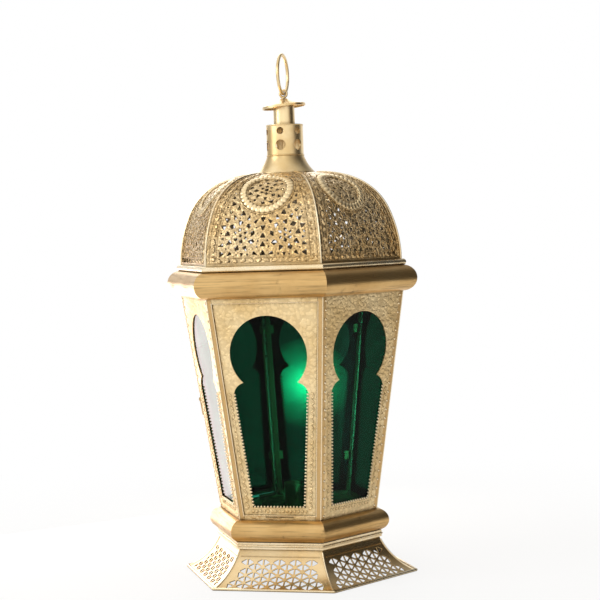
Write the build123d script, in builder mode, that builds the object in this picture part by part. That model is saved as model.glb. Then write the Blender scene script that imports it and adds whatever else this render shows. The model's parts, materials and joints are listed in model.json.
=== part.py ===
from build123d import *

import os
from math import atan, cos, hypot, radians, sin, sqrt, tan

# Six-sided brass hanging lantern: a flared pierced foot, a tapered body with glazed horseshoe
# arches, a pierced dome, a vented chimney and a loose hanging ring.
# Millimetres, +Z up, origin on the floor under the axis. Face 0 looks along -Y and the faces
# are counted anticlockwise from above.

# Faces of the body
face_count = 6
door_face = 4
inset_faces = (0, 2)
wing_faces = (1, 3, 5)

# Stock and gaps
sheet = 1.0  # brass sheet of panels, bands and mouldings
glass = 3.0  # window glass
set_gap = 0.3  # round a piece that is set in by hand
run_gap = 0.05  # radial play of a turning fit
overrun = 6.0  # how far a cutting or trimmed shape runs on

# Heights of the stack, from the floor up
skirt_height = 32.0
base_band_height = 6.0
lower_bead_radius = 10.0
body_height = 202.0
upper_bead_radius = 12.0
dome_band_height = 5.0
neck_height = 16.5
collar_height = 28.5
cap_lift = 18.0  # from the collar to the middle of the cap's rim

# Distances from the axis to the corners of the six-sided pieces
skirt_foot_corner = 112.0
body_foot_corner = 75.5
body_head_corner = 107.0
base_band_step = 4.0  # the band stands out from the body's foot
skirt_top_step = 2.5  # the skirt sits back under the band
dome_band_step = 1.0  # the band stands out from the body's head
dome_foot_step = 2.0  # the dome sits back on the band

# Foot skirt
skirt_hollow = 4.4  # how far the flare bows in from a straight slope
foot_lip = 7.0  # folded in along the floor
lattice_pitch = 20.0
lattice_row_step = 14.0
lattice_hub = 1.3
lattice_petal = (2.5, 8.1, 4.8)  # start, end and width of a petal hole
lattice_petal_count = 6
lattice_gap_hole = 1.8

# Mouldings and bands
web_depth = 9.0  # flat web that a moulding turns in towards the axis

# Body panels and windows
flange = 4.6  # of a wing panel, folded round the corner
arch_drop = 51.1  # from the head of the panel down to the centre of the arch
arch_margin = 14.05  # metal left beside the arch at its centre
arch_neck_step = 10.5  # the neck is narrower than the arch by this on each side
shoulder_drop = 11.0
shoulder_bow = 2.2
shoulder_margin = 12.25  # metal left beside the shoulders
window_foot_rise = 11.5
window_foot_margin = 13.95  # metal left beside the window's foot
sill_height = 4.0
sill_notch_width = 26.0
sill_notch_depth = 1.6
lintel_height = 4.0
pane_inset = 7.0
pane_end = 6.0

# Glass clips
clip_sheet = 0.8
clip_length = 8.0
clip_lip = 3.0
clip_end = 40.0  # from the ends of a pane to the middle of its clips

# Door, hinges, stops and turn button
door_gap = 0.6
door_pane_inset = 8.6
door_pane_end = 9.0
hinge_length = 24.0
hinge_end = 38.0  # from the ends of the body to the middle of a hinge
hinge_leaf = 0.8
knuckle_radius = 1.9
knuckle_length = 7.0
hinge_pin_radius = 1.0
hinge_pin_head = 0.7
frame_leaf_width = 4.4
door_leaf_width = 7.0
hinge_rivet_radius = 0.8
hinge_rivet_head_radius = 1.2
hinge_rivet_head = 0.6
hinge_rivet_spread = 17.0
stop_reach = 2.4
stop_length = 12.0
stop_end = 62.0
button_width = 4.2
button_length = 18.0
button_thickness = 1.2
button_lift = 2.08  # above the middle of the door's edge
stud_radius = 1.2
stud_shoulder_radius = 2.0
stud_shoulder = 1.0
stud_head_radius = 2.3
stud_head = 0.8
stud_tail_radius = 1.6
stud_tail = 0.5

# Floor, drip pan and candle socket
floor_sheet = 1.2
pan_radius = 30.0
pan_rim = 5.0
pan_flare = 3.0
candle_radius = 11.0
candle_play = 0.2
socket_wall = 1.2
socket_depth = 20.0
socket_rebate = 0.4  # cut into the foot of the wall, round the rivet's broad head
socket_rivet_radius = 2.0
socket_rivet_head = 2.0
socket_rivet_tail_radius = 4.0
socket_rivet_tail = 1.0

# Dome
dome_side_radius = 130.0
dome_side_turn = 21.0
dome_shoulder_radius = 55.0
dome_shoulder_turn = 51.0
crown_tuck = 1.15  # the flat of the crown stops short of the neck's rim by this
crown_bore = 12.0
medallion_hub = 2.2
medallion_inner = (4.2, 10.0, 3.4)  # petal holes as above
medallion_outer = (11.6, 18.4, 4.2)
medallion_inner_count = 8
medallion_outer_count = 16
rosette_rise = 26.0  # centres of the two lower rosettes, above the dome's foot
rosette_spread = 39.0
rosette_hub = 1.8
rosette_inner = (3.4, 8.2, 2.8)
rosette_outer = (9.6, 15.0, 4.2)
rosette_inner_count = 8
rosette_outer_count = 12
filler_size = 3.2
petal_waist_share = 0.62
# Triangular holes round the rosettes: places as shares of the spread and of the outer
# petals' reach, the size as a share of the filler size, and the turn of each triangle
filler_shares = (
    (0.00, 0.92, 1.50, -90),
    (0.00, -0.84, 1.40, 90),
    (0.95, -0.86, 1.00, 150),
    (0.93, 0.72, 1.00, 210),
    (0.74, 1.18, 1.00, -90),
    (0.52, 1.22, 0.90, 90),
)

# Chimney and finial
neck_foot_radius = 26.5
neck_hollow = 1.1
collar_radius = 17.0
lower_vent_radius = 4.8
lower_vent_rise = 9.5
upper_vent_radius = 3.3
upper_vent_rise = 22.5
stem_radius = 9.8
cap_radius = 20.0
cap_rise = 6.0
cap_lip = 2.0
cap_top_radius = 4.6
cap_play = 0.5
cap_tilt = -5.0
washer_radius = 20.0
washer_sheet = 1.2
washer_vent_radius = 2.8
washer_vent_reach = 7.5
bolt_radius = 2.0
nut_across = 7.0
nut_thickness = 3.2
bolt_tail = 2.0
eye_bore = 2.1
eye_wire = 2.2
ring_radius = 18.0
ring_wire = 3.0

# Angles and shares of the six-sided plan
face_turn = 360 / face_count
half_face = radians(face_turn / 2)
apothem_share = cos(half_face)
half_width_share = sin(half_face)
mitre_share = tan(half_face)

# Levels, corners and seats worked out from the sizes above
base_band_corner = body_foot_corner + base_band_step
skirt_top_corner = base_band_corner - skirt_top_step
dome_band_corner = body_head_corner + dome_band_step
dome_foot_corner = dome_band_corner - dome_foot_step
base_band_z = skirt_height
lower_bead_z = base_band_z + base_band_height
body_foot_z = lower_bead_z + 2 * lower_bead_radius
body_head_z = body_foot_z + body_height
dome_band_z = body_head_z + 2 * upper_bead_radius
dome_foot_z = dome_band_z + dome_band_height
body_foot_apothem = body_foot_corner * apothem_share
body_head_apothem = body_head_corner * apothem_share
slope = hypot(body_height, body_head_apothem - body_foot_apothem)
edge_lean = (body_head_corner - body_foot_corner) * half_width_share / slope
button_rise = slope / 2 + button_lift
body_lean = atan((body_head_apothem - body_foot_apothem) / body_height)
plan_reach = 2 * (skirt_foot_corner + body_head_corner)

# Section plane of the front face: first axis out from the lantern's axis, second axis up
section_plane = Plane(origin=(0, 0, 0), x_dir=(0, -1, 0), z_dir=(-1, 0, 0))


def write_piece(builder, name):
    """Labels a finished piece and writes its file."""
    builder.part.label = name
    export_step(builder.part, f"parts/{name}.step")


def upright_plane(face):
    """Plane through the axis, square to a face's direction: across, up, outwards."""
    turn = radians(face_turn * face)
    return Plane(origin=(0, 0, 0), x_dir=(cos(turn), sin(turn), 0), z_dir=(sin(turn), -cos(turn), 0))


def body_plane(face, depth=0.0):
    """Plane of a body face, depth below its outside: across, up the slope, outwards."""
    upright = upright_plane(face)
    foot = upright.from_local_coords((0, body_foot_z, body_foot_apothem))
    up = upright.y_dir * body_height + upright.z_dir * (body_head_apothem - body_foot_apothem)
    return Plane(origin=foot, x_dir=upright.x_dir, z_dir=upright.x_dir.cross(up)).offset(-depth)


def half_width(rise):
    """Half the width of a body face at a height up its slope."""
    return body_foot_corner * half_width_share + edge_lean * rise


def panel_points(inset, foot, head):
    """Corners of a plate on a body face, inset from the face's slanted sides."""
    low = half_width(foot) - inset
    high = half_width(head) - inset
    return (-low, foot), (low, foot), (high, head), (-high, head)


def edge_points(side, inner, outer, foot, head):
    """Corners of a strip along one slanted side, between two insets from it."""
    low = half_width(foot)
    high = half_width(head)
    return (
        (side * (low - inner), foot),
        (side * (low - outer), foot),
        (side * (high - outer), head),
        (side * (high - inner), head),
    )


def petal_holes(start, end, width, count):
    """A ring of kite-shaped holes in the sketch that is being drawn."""
    waist = (end - start) * petal_waist_share
    with PolarLocations(start, count):
        Polygon((0, 0), (waist, -width / 2), (end - start, 0), (waist, width / 2), align=None)


def mitred_ring(section):
    """Six sides of one section, drawn on the section plane, mitred at the corners."""
    with BuildPart() as side:
        extrude(section.sketch, amount=plan_reach, both=True)
        add(sector.part, mode=Mode.INTERSECT)
    with BuildPart() as ring:
        with PolarLocations(0, face_count):
            add(side.part)
    return ring


os.makedirs("parts", exist_ok=True)

# One face's slice of the plan, from the axis out to both corners
with BuildPart() as sector:
    with BuildSketch():
        Polygon(
            (0, 0),
            (plan_reach * mitre_share, -plan_reach),
            (-plan_reach * mitre_share, -plan_reach),
            align=None,
        )
    extrude(amount=plan_reach)

# Foot skirt: six hollow-curved panels, pierced with a lattice of petals
skirt_top = skirt_top_corner * apothem_share
skirt_foot = skirt_foot_corner * apothem_share
skirt_chord = hypot(skirt_foot - skirt_top, skirt_height)
skirt_radius = (skirt_chord**2 / 4 + skirt_hollow**2) / (2 * skirt_hollow)
skirt_out = Vector(skirt_height, skirt_foot - skirt_top) / skirt_chord
skirt_middle = Vector((skirt_foot + skirt_top) / 2, skirt_height / 2) - skirt_out * skirt_hollow
skirt_centre = skirt_middle + skirt_out * skirt_radius
lattice_plane = Plane(
    origin=(0, -skirt_middle.X, skirt_middle.Y),
    x_dir=(1, 0, 0),
    z_dir=(0, -skirt_out.X, skirt_out.Y),
)

with BuildPart() as skirt_front:
    with BuildSketch(section_plane):
        with Locations(skirt_centre):
            Circle(skirt_radius + sheet)
        with Locations((skirt_foot, 0)):
            Rectangle(
                skirt_foot - skirt_top + foot_lip,
                skirt_height,
                align=(Align.MAX, Align.MIN),
                mode=Mode.INTERSECT,
            )
            Rectangle(foot_lip, sheet, align=(Align.MAX, Align.MIN))
        with Locations(skirt_centre):
            Circle(skirt_radius, mode=Mode.SUBTRACT)
    extrude(amount=plan_reach, both=True)
    add(sector.part, mode=Mode.INTERSECT)
    with BuildSketch(lattice_plane):
        for side, lattice_count in ((-1, 4), (1, 3)):
            with Locations((0, side * lattice_row_step / 2)):
                with GridLocations(lattice_pitch, 0, lattice_count, 1):
                    Circle(lattice_hub)
                    petal_holes(*lattice_petal, lattice_petal_count)
            with Locations((0, side * lattice_row_step / 6)):
                with GridLocations(lattice_pitch, 0, 7 - lattice_count, 1):
                    RegularPolygon(lattice_gap_hole, 3, rotation=side * 90)
    extrude(amount=overrun + skirt_hollow, both=True, mode=Mode.SUBTRACT)

for face in range(face_count):
    with BuildPart() as skirt_panel:
        add(skirt_front.part, rotation=(0, 0, face_turn * face), clean=False)
    write_piece(skirt_panel, f"skirt_panel_{face + 1}")


# Bands: six-sided channels, open towards the axis
def channel_section(corner, foot, height):
    """Channel with its wall at a corner distance and a web at its foot and its head."""
    outer = corner * apothem_share
    with BuildSketch(section_plane) as section:
        with Locations((outer, foot)):
            Rectangle(web_depth, height, align=(Align.MAX, Align.MIN))
        with Locations((outer - sheet, foot + sheet)):
            Rectangle(
                web_depth,
                height - 2 * sheet,
                align=(Align.MAX, Align.MIN),
                mode=Mode.SUBTRACT,
            )
    return section


base_band = mitred_ring(channel_section(base_band_corner, base_band_z, base_band_height))
write_piece(base_band, "base_band")
dome_band = mitred_ring(channel_section(dome_band_corner, dome_band_z, dome_band_height))
write_piece(dome_band, "dome_band")


# Beads: hollow half-round mouldings with a flat web at foot and head
def bead_section(seat, foot, radius):
    """Half-round shell on a seat, with webs turned in from both of its edges."""
    with BuildSketch(section_plane) as section:
        with Locations((seat, foot + radius)):
            Circle(radius)
            Circle(radius - sheet, mode=Mode.SUBTRACT)
        with Locations((seat, foot)):
            Rectangle(radius, 2 * radius, align=(Align.MIN, Align.MIN), mode=Mode.INTERSECT)
            Rectangle(web_depth, sheet, align=(Align.MAX, Align.MIN))
        with Locations((seat, foot + 2 * radius)):
            Rectangle(web_depth, sheet, align=(Align.MAX, Align.MAX))
    return section


lower_bead = mitred_ring(bead_section(body_foot_apothem, lower_bead_z, lower_bead_radius))
write_piece(lower_bead, "lower_bead")
upper_bead = mitred_ring(bead_section(body_head_apothem, body_head_z, upper_bead_radius))
write_piece(upper_bead, "upper_bead")

# Window: a horseshoe arch on corbelled shoulders, drawn once for all faces
arch_rise = slope - arch_drop
arch_radius = half_width(arch_rise) - arch_margin
arch_neck_half = arch_radius - arch_neck_step
arch_neck_rise = arch_rise - sqrt(arch_radius**2 - arch_neck_half**2)
shoulder_rise = arch_neck_rise - shoulder_drop
shoulder_half = half_width(shoulder_rise) - shoulder_margin
window_foot_half = half_width(window_foot_rise) - window_foot_margin
with BuildSketch() as window:
    with BuildLine():
        foot_line = Line((-window_foot_half, window_foot_rise), (window_foot_half, window_foot_rise))
        right_side = Line(foot_line @ 1, (shoulder_half, shoulder_rise))
        SagittaArc(right_side @ 1, (arch_neck_half, arch_neck_rise), -shoulder_bow)
        ThreePointArc(
            (arch_neck_half, arch_neck_rise),
            (0, arch_rise + arch_radius),
            (-arch_neck_half, arch_neck_rise),
        )
        left_side = Line((-shoulder_half, shoulder_rise), foot_line @ 0)
        SagittaArc((-arch_neck_half, arch_neck_rise), left_side @ 0, -shoulder_bow)
    make_face()


def trim_to_body():
    """Cuts the plates that are being made level with the mouldings below and above."""
    split(bisect_by=Plane.XY.offset(body_foot_z), keep=Keep.TOP)
    split(bisect_by=Plane.XY.offset(body_head_z), keep=Keep.BOTTOM)


# Hinge line of the door: along the slanted left edge, outside the sheet
hinge_inset = flange + door_gap / 2
hinge_out = knuckle_radius + 2 * run_gap
hinge_rises = (hinge_end, slope - hinge_end)
rivet_rises = (-hinge_rivet_spread / 2, hinge_rivet_spread / 2)


def hinge_plane(rise, shift=0.0):
    """Plane square to the hinge line: towards the door, outwards, down the line."""
    face = body_plane(door_face)
    towards = face.x_dir + face.y_dir * edge_lean
    down = face.x_dir * edge_lean - face.y_dir
    place = face.from_local_coords(Vector(hinge_inset - half_width(rise), rise, hinge_out))
    return Plane(origin=place, x_dir=towards, z_dir=down).offset(shift)


def hinge_rivet_planes(across):
    """Planes on top of the hinge leaves, one at each rivet, at a distance from the hinge line."""
    planes = []
    for rise in hinge_rises:
        for shift in rivet_rises:
            line = hinge_plane(rise, shift)
            place = line.from_local_coords(Vector(across, hinge_leaf - hinge_out, 0))
            planes.append(Plane(origin=place, x_dir=line.x_dir, z_dir=line.y_dir))
    return planes


frame_rivet_across = -(frame_leaf_width + knuckle_radius) / 2
door_rivet_across = (door_leaf_width + knuckle_radius) / 2
frame_rivet_planes = hinge_rivet_planes(frame_rivet_across)
door_rivet_planes = hinge_rivet_planes(door_rivet_across)

# Turn button: pivots on the flange beside the door's free edge and hangs down when open
button_face = body_plane(door_face)
button_place = button_face.from_local_coords((half_width(button_rise) - flange / 2, button_rise))
button_plane = Plane(
    origin=button_place,
    x_dir=-(button_face.x_dir * edge_lean + button_face.y_dir),
    z_dir=button_face.z_dir,
)

# Wing panels: a window sheet whose two flanges lie on the neighbouring faces
for number, face in enumerate(wing_faces, 1):
    with BuildPart() as wing_panel:
        with BuildSketch(body_plane(face)):
            Polygon(*panel_points(0, -overrun, slope + overrun), align=None)
            add(window.sketch, mode=Mode.SUBTRACT)
        extrude(amount=-sheet)
        for side in (-1, 1):
            with BuildSketch(body_plane(face + side)):
                Polygon(*edge_points(-side, 0, flange, -overrun, slope + overrun), align=None)
            extrude(amount=-sheet)
        trim_to_body()
        if face == door_face - 1:
            with BuildSketch(*frame_rivet_planes):
                Circle(hinge_rivet_radius + run_gap)
            extrude(amount=-hinge_leaf - overrun, mode=Mode.SUBTRACT)
        if face == door_face + 1:
            with BuildSketch(button_plane):
                Circle(stud_radius + run_gap)
            extrude(amount=-overrun, mode=Mode.SUBTRACT)
    write_piece(wing_panel, f"wing_panel_{number}")

# Inset panels: window sheets behind the flanges of their neighbours
inset_edge = sheet * mitre_share + set_gap
for number, face in enumerate(inset_faces, 1):
    with BuildPart() as inset_panel:
        with BuildSketch(body_plane(face, sheet)):
            Polygon(*panel_points(inset_edge, -overrun, slope + overrun), align=None)
            add(window.sketch, mode=Mode.SUBTRACT)
        extrude(amount=-sheet)
        trim_to_body()
    write_piece(inset_panel, f"inset_panel_{number}")

# Sill and lintel strips between the flanges of the inset faces and of the door's face
for number, face in enumerate((*inset_faces, door_face), 1):
    with BuildPart() as sill_strip:
        with BuildSketch(body_plane(face)):
            Polygon(*panel_points(flange + set_gap, -overrun, sill_height), align=None)
            with Locations((0, sill_height)):
                Rectangle(sill_notch_width, 2 * sill_notch_depth, mode=Mode.SUBTRACT)
        extrude(amount=-sheet)
        trim_to_body()
    write_piece(sill_strip, f"sill_strip_{number}")
    with BuildPart() as lintel_strip:
        with BuildSketch(body_plane(face)):
            Polygon(
                *panel_points(flange + set_gap, slope - lintel_height, slope + overrun),
                align=None,
            )
        extrude(amount=-sheet)
        trim_to_body()
    write_piece(lintel_strip, f"lintel_strip_{number}")

# Door: a window sheet level with the flanges that it closes between
door_foot = sill_height + door_gap
door_head = slope - lintel_height - door_gap
with BuildPart() as door_panel:
    with BuildSketch(body_plane(door_face)):
        Polygon(*panel_points(flange + door_gap, door_foot, door_head), align=None)
        add(window.sketch, mode=Mode.SUBTRACT)
    extrude(amount=-sheet)
    with BuildSketch(*door_rivet_planes):
        Circle(hinge_rivet_radius + run_gap)
    extrude(amount=-hinge_leaf - overrun, mode=Mode.SUBTRACT)
write_piece(door_panel, "door_panel")


# Glass panes, each against the inside of its panel
def panel_back(face):
    """How far the inside of a face's panel lies below the outside of the body."""
    return 2 * sheet if face in inset_faces else sheet


for number, face in enumerate((*inset_faces, *wing_faces), 1):
    with BuildPart() as glass_pane:
        with BuildSketch(body_plane(face, panel_back(face))):
            Polygon(*panel_points(pane_inset, pane_end, slope - pane_end), align=None)
        extrude(amount=-glass)
    write_piece(glass_pane, f"glass_pane_{number}")
with BuildPart() as door_glass:
    with BuildSketch(body_plane(door_face, panel_back(door_face))):
        Polygon(*panel_points(door_pane_inset, door_pane_end, slope - door_pane_end), align=None)
    extrude(amount=-glass)
write_piece(door_glass, "door_glass")


# Glass clips: bent tabs beside a pane that fold over its inner face
def clips_of(face, inset):
    """Four clips of one pane, two on each slanted side."""
    back = panel_back(face)
    near = inset - run_gap - clip_sheet
    with BuildPart() as clips:
        for side in (-1, 1):
            for rise in (clip_end, slope - clip_end):
                foot = rise - clip_length / 2
                head = rise + clip_length / 2
                with BuildSketch(body_plane(face, back)):
                    Polygon(*edge_points(side, near, inset - run_gap, foot, head), align=None)
                extrude(amount=-glass - clip_sheet)
                with BuildSketch(body_plane(face, back + glass)):
                    Polygon(*edge_points(side, near, inset + clip_lip, foot, head), align=None)
                extrude(amount=-clip_sheet)
    return clips.part


fixed_clips = [clips_of(face, pane_inset) for face in (*inset_faces, *wing_faces)]
with BuildPart() as glass_clips:
    add(fixed_clips)
write_piece(glass_clips, "glass_clips")

door_clips = clips_of(door_face, door_pane_inset)
with BuildPart() as door_glass_clips:
    add(door_clips)
write_piece(door_glass_clips, "door_glass_clips")

# Hinges: two knuckles on the frame leaf, one on the door leaf, a headed pin through them
door_knuckle_start = knuckle_length + set_gap
door_knuckle_length = hinge_length - 2 * door_knuckle_start
leaf_start = knuckle_radius + set_gap


def hinge_leaf_solid(rise, direction, width, knuckles):
    """Leaf on one side of a hinge line, with knuckles at (start, length) along it."""
    top = hinge_plane(rise, -hinge_length / 2)
    seat = Align.MAX if direction < 0 else Align.MIN
    with BuildPart() as leaf:
        with BuildSketch(top):
            with Locations((direction * leaf_start, -hinge_out)):
                Rectangle(width - leaf_start, hinge_leaf, align=(seat, Align.MIN))
        extrude(amount=hinge_length)
        for start, length in knuckles:
            with BuildSketch(top.offset(start)):
                Circle(knuckle_radius)
                with Locations((0, -hinge_out)):
                    Rectangle(width, hinge_leaf, align=(seat, Align.MIN))
            extrude(amount=length)
        with BuildSketch(top):
            Circle(hinge_pin_radius + run_gap)
        extrude(amount=hinge_length, mode=Mode.SUBTRACT)
    return leaf


def pierce_leaf(leaf, planes):
    """The leaf again, with its rivet holes."""
    with BuildPart() as pierced:
        add(leaf.part)
        with BuildSketch(*planes):
            Circle(hinge_rivet_radius + run_gap)
        extrude(amount=hinge_leaf, both=True, mode=Mode.SUBTRACT)
    return pierced


frame_knuckles = ((0, knuckle_length), (hinge_length - knuckle_length, knuckle_length))
door_knuckles = ((door_knuckle_start, door_knuckle_length),)
for number, rise in enumerate(hinge_rises, 1):
    frame_leaf = hinge_leaf_solid(rise, -1, frame_leaf_width, frame_knuckles)
    frame_leaf = pierce_leaf(frame_leaf, frame_rivet_planes)
    write_piece(frame_leaf, f"frame_hinge_leaf_{number}")
    door_leaf = hinge_leaf_solid(rise, 1, door_leaf_width, door_knuckles)
    door_leaf = pierce_leaf(door_leaf, door_rivet_planes)
    write_piece(door_leaf, f"door_hinge_leaf_{number}")
    with BuildPart() as hinge_pin:
        with BuildSketch(hinge_plane(rise, -hinge_length / 2 - hinge_pin_head)):
            Circle(hinge_pin_radius)
        extrude(amount=hinge_length + 2 * hinge_pin_head)
        for shift in (-hinge_length / 2 - hinge_pin_head, hinge_length / 2):
            with BuildSketch(hinge_plane(rise, shift)):
                Circle((hinge_pin_radius + knuckle_radius) / 2)
            extrude(amount=hinge_pin_head)
    write_piece(hinge_pin, f"hinge_pin_{number}")

# Hinge rivets: round heads on the leaves, filed flush inside
for planes, name in ((frame_rivet_planes, "frame_rivets"), (door_rivet_planes, "door_rivets")):
    with BuildPart() as rivets:
        with BuildSketch(*planes):
            Circle(hinge_rivet_radius)
        extrude(amount=-hinge_leaf - sheet)
        with BuildSketch(*planes):
            Circle(hinge_rivet_head_radius)
        extrude(amount=hinge_rivet_head)
    write_piece(rivets, name)

# Door stops: tabs behind the flange that the door's free edge closes against
with BuildPart() as door_stops:
    for rise in (stop_end, slope - stop_end):
        foot = rise - stop_length / 2
        head = rise + stop_length / 2
        with BuildSketch(body_plane(door_face, sheet)):
            Polygon(*edge_points(1, sheet + set_gap, flange + stop_reach, foot, head), align=None)
        extrude(amount=-sheet)
write_piece(door_stops, "door_stops")

# Turn button and its stud
button_reach = button_length - button_width
with BuildPart() as turn_button:
    with BuildSketch(button_plane.offset(stud_shoulder + run_gap)):
        with Locations((button_reach / 2, 0)):
            SlotCenterToCenter(button_reach, button_width)
        Circle(stud_radius + run_gap, mode=Mode.SUBTRACT)
    extrude(amount=button_thickness)
write_piece(turn_button, "turn_button")

stud_head_seat = stud_shoulder + button_thickness + 2 * run_gap
stud_stages = (
    (-sheet - stud_tail, -sheet, stud_tail_radius),
    (-sheet, stud_head_seat, stud_radius),
    (0, stud_shoulder, stud_shoulder_radius),
    (stud_head_seat, stud_head_seat + stud_head, stud_head_radius),
)
with BuildPart() as button_stud:
    for start, end, radius in stud_stages:
        with BuildSketch(button_plane.offset(start)):
            Circle(radius)
        extrude(amount=end - start)
write_piece(button_stud, "button_stud")

# Floor plate on the web of the lower bead
floor_apothem = body_foot_apothem - 2 * sheet / cos(body_lean) - set_gap
with BuildPart() as floor_plate:
    with BuildSketch(Plane.XY.offset(body_foot_z)):
        RegularPolygon(floor_apothem / apothem_share, face_count)
        Circle(socket_rivet_radius + run_gap, mode=Mode.SUBTRACT)
    extrude(amount=floor_sheet)
write_piece(floor_plate, "floor_plate")

# Drip pan with a flared rim
pan_z = body_foot_z + floor_sheet
with BuildPart() as drip_pan:
    with BuildSketch(Plane.XZ):
        with BuildLine():
            Polyline(
                (socket_rivet_radius + run_gap, pan_z),
                (pan_radius, pan_z),
                (pan_radius + pan_flare, pan_z + pan_rim),
                (pan_radius + pan_flare - sheet, pan_z + pan_rim),
                (pan_radius - sheet, pan_z + sheet),
                (socket_rivet_radius + run_gap, pan_z + sheet),
                close=True,
            )
        make_face()
    revolve(axis=Axis.Z)
write_piece(drip_pan, "drip_pan")

# Candle socket: a tube on the pan, fitted over the broad head of the rivet that is its floor
socket_z = pan_z + sheet
socket_bore = candle_radius + candle_play
with BuildPart() as candle_socket:
    with BuildSketch(Plane.XY.offset(socket_z)):
        Circle(socket_bore + socket_wall)
        Circle(socket_bore, mode=Mode.SUBTRACT)
    extrude(amount=socket_rivet_head + socket_depth)
    with BuildSketch(Plane.XY.offset(socket_z)):
        Circle(socket_bore + socket_rebate)
    extrude(amount=socket_rivet_head, mode=Mode.SUBTRACT)
write_piece(candle_socket, "candle_socket")

rivet_foot = body_foot_z - socket_rivet_tail
with BuildPart() as socket_rivet:
    with BuildSketch(Plane.XY.offset(rivet_foot)):
        Circle(socket_rivet_tail_radius)
    extrude(amount=socket_rivet_tail)
    with BuildSketch(Plane.XY.offset(rivet_foot)):
        Circle(socket_rivet_radius)
    extrude(amount=socket_z - rivet_foot)
    with BuildSketch(Plane.XY.offset(socket_z)):
        Circle(socket_bore + socket_rebate - run_gap)
    extrude(amount=socket_rivet_head)
write_piece(socket_rivet, "socket_rivet")

# Dome: six panels bent over a side, a shoulder and a crown, pierced with rosettes
dome_foot = dome_foot_corner * apothem_share
dome_crown_turn = 90 - dome_side_turn - dome_shoulder_turn
with BuildSketch(section_plane) as dome_section:
    with BuildLine():
        dome_side = JernArc((dome_foot, dome_foot_z), (0, 1), dome_side_radius, dome_side_turn)
        shoulder = JernArc(dome_side @ 1, dome_side % 1, dome_shoulder_radius, dome_shoulder_turn)
        crown_reach = (shoulder @ 1).X - neck_foot_radius + crown_tuck
        crown_radius = crown_reach / sin(radians(dome_crown_turn))
        crown = JernArc(shoulder @ 1, shoulder % 1, crown_radius, dome_crown_turn)
        crown_z = (crown @ 1).Y
        Line(crown @ 1, (crown_bore, crown_z))
        offset(amount=sheet, side=Side.LEFT)
    make_face()
medallion_middle = shoulder @ 0.5
medallion_up = shoulder % 0.5
medallion_plane = Plane(
    origin=(0, -medallion_middle.X, medallion_middle.Y),
    x_dir=(1, 0, 0),
    z_dir=(0, -medallion_up.Y, -medallion_up.X),
)
rosette_plane = Plane.XZ.offset(dome_foot + overrun)
rosette_z = dome_foot_z + rosette_rise
rosette_reach = rosette_outer[1]

with BuildPart() as dome_front:
    extrude(dome_section.sketch, amount=plan_reach, both=True)
    add(sector.part, mode=Mode.INTERSECT)
    with BuildSketch(medallion_plane):
        Circle(medallion_hub)
        petal_holes(*medallion_inner, medallion_inner_count)
        petal_holes(*medallion_outer, medallion_outer_count)
    extrude(amount=overrun, both=True, mode=Mode.SUBTRACT)
    with BuildSketch(rosette_plane):
        with Locations((0, rosette_z)):
            with GridLocations(rosette_spread, 0, 2, 1):
                Circle(rosette_hub)
                petal_holes(*rosette_inner, rosette_inner_count)
                petal_holes(*rosette_outer, rosette_outer_count)
        for across_share, rise_share, size_share, turn in filler_shares:
            across = across_share * rosette_spread
            rise = rosette_z + rise_share * rosette_reach
            with Locations((across, rise)):
                RegularPolygon(size_share * filler_size, 3, rotation=turn)
            if across:
                with Locations((-across, rise)):
                    RegularPolygon(size_share * filler_size, 3, rotation=180 - turn)
    extrude(amount=-dome_foot, mode=Mode.SUBTRACT)

for face in range(face_count):
    with BuildPart() as dome_panel:
        add(dome_front.part, rotation=(0, 0, face_turn * face), clean=False)
    write_piece(dome_panel, f"dome_panel_{face + 1}")

# Chimney: a flared neck on the dome's flat crown
collar_z = crown_z + neck_height
with BuildPart() as neck:
    with BuildSketch(Plane.XZ):
        with BuildLine():
            flare = SagittaArc(
                (neck_foot_radius, crown_z + sheet),
                (collar_radius, collar_z),
                neck_hollow,
            )
            Line(flare @ 1, (collar_radius - sheet, collar_z))
            SagittaArc(
                (collar_radius - sheet, collar_z),
                (neck_foot_radius - 2 * sheet, crown_z + sheet),
                -neck_hollow,
            )
            Polyline(
                (neck_foot_radius - 2 * sheet, crown_z + sheet),
                (crown_bore, crown_z + sheet),
                (crown_bore, crown_z),
                (neck_foot_radius, crown_z),
                (neck_foot_radius, crown_z + sheet),
            )
        make_face()
    revolve(axis=Axis.Z)
write_piece(neck, "neck")

# Vent collar: a tube with two rows of round holes, closed at its head
collar_head_z = collar_z + collar_height
bolt_bore = bolt_radius + set_gap
with BuildPart() as vent_collar:
    with BuildSketch(Plane.XY.offset(collar_z)):
        Circle(collar_radius)
    extrude(amount=collar_height)
    with BuildSketch(Plane.XY.offset(collar_z)):
        Circle(collar_radius - sheet)
    extrude(amount=collar_height - sheet, mode=Mode.SUBTRACT)
    with BuildSketch(Plane.XY.offset(collar_z)):
        Circle(bolt_bore)
    extrude(amount=collar_height, mode=Mode.SUBTRACT)
    for face in range(face_count):
        with BuildSketch(upright_plane(face)):
            with Locations((0, collar_z + lower_vent_rise)):
                Circle(lower_vent_radius)
            with Locations((0, collar_z + upper_vent_rise)):
                Circle(upper_vent_radius)
        extrude(amount=collar_radius + overrun, mode=Mode.SUBTRACT)
write_piece(vent_collar, "vent_collar")

# Finial: a cone cap that sits slightly crooked on a tube stem
cap_z = collar_head_z + cap_lift
cap_slope = cap_rise / (cap_radius - cap_top_radius)
cap_depth = sheet * hypot(1, cap_slope)
cap_under = cap_slope * (cap_radius - stem_radius) - cap_depth
tilt_drop = stem_radius * sin(radians(abs(cap_tilt)))
stem_height = cap_lift + cap_under - tilt_drop - set_gap
with BuildPart() as finial_stem:
    with BuildSketch(Plane.XY.offset(collar_head_z)):
        Circle(stem_radius)
        Circle(stem_radius - sheet, mode=Mode.SUBTRACT)
    extrude(amount=stem_height)
write_piece(finial_stem, "finial_stem")

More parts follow.
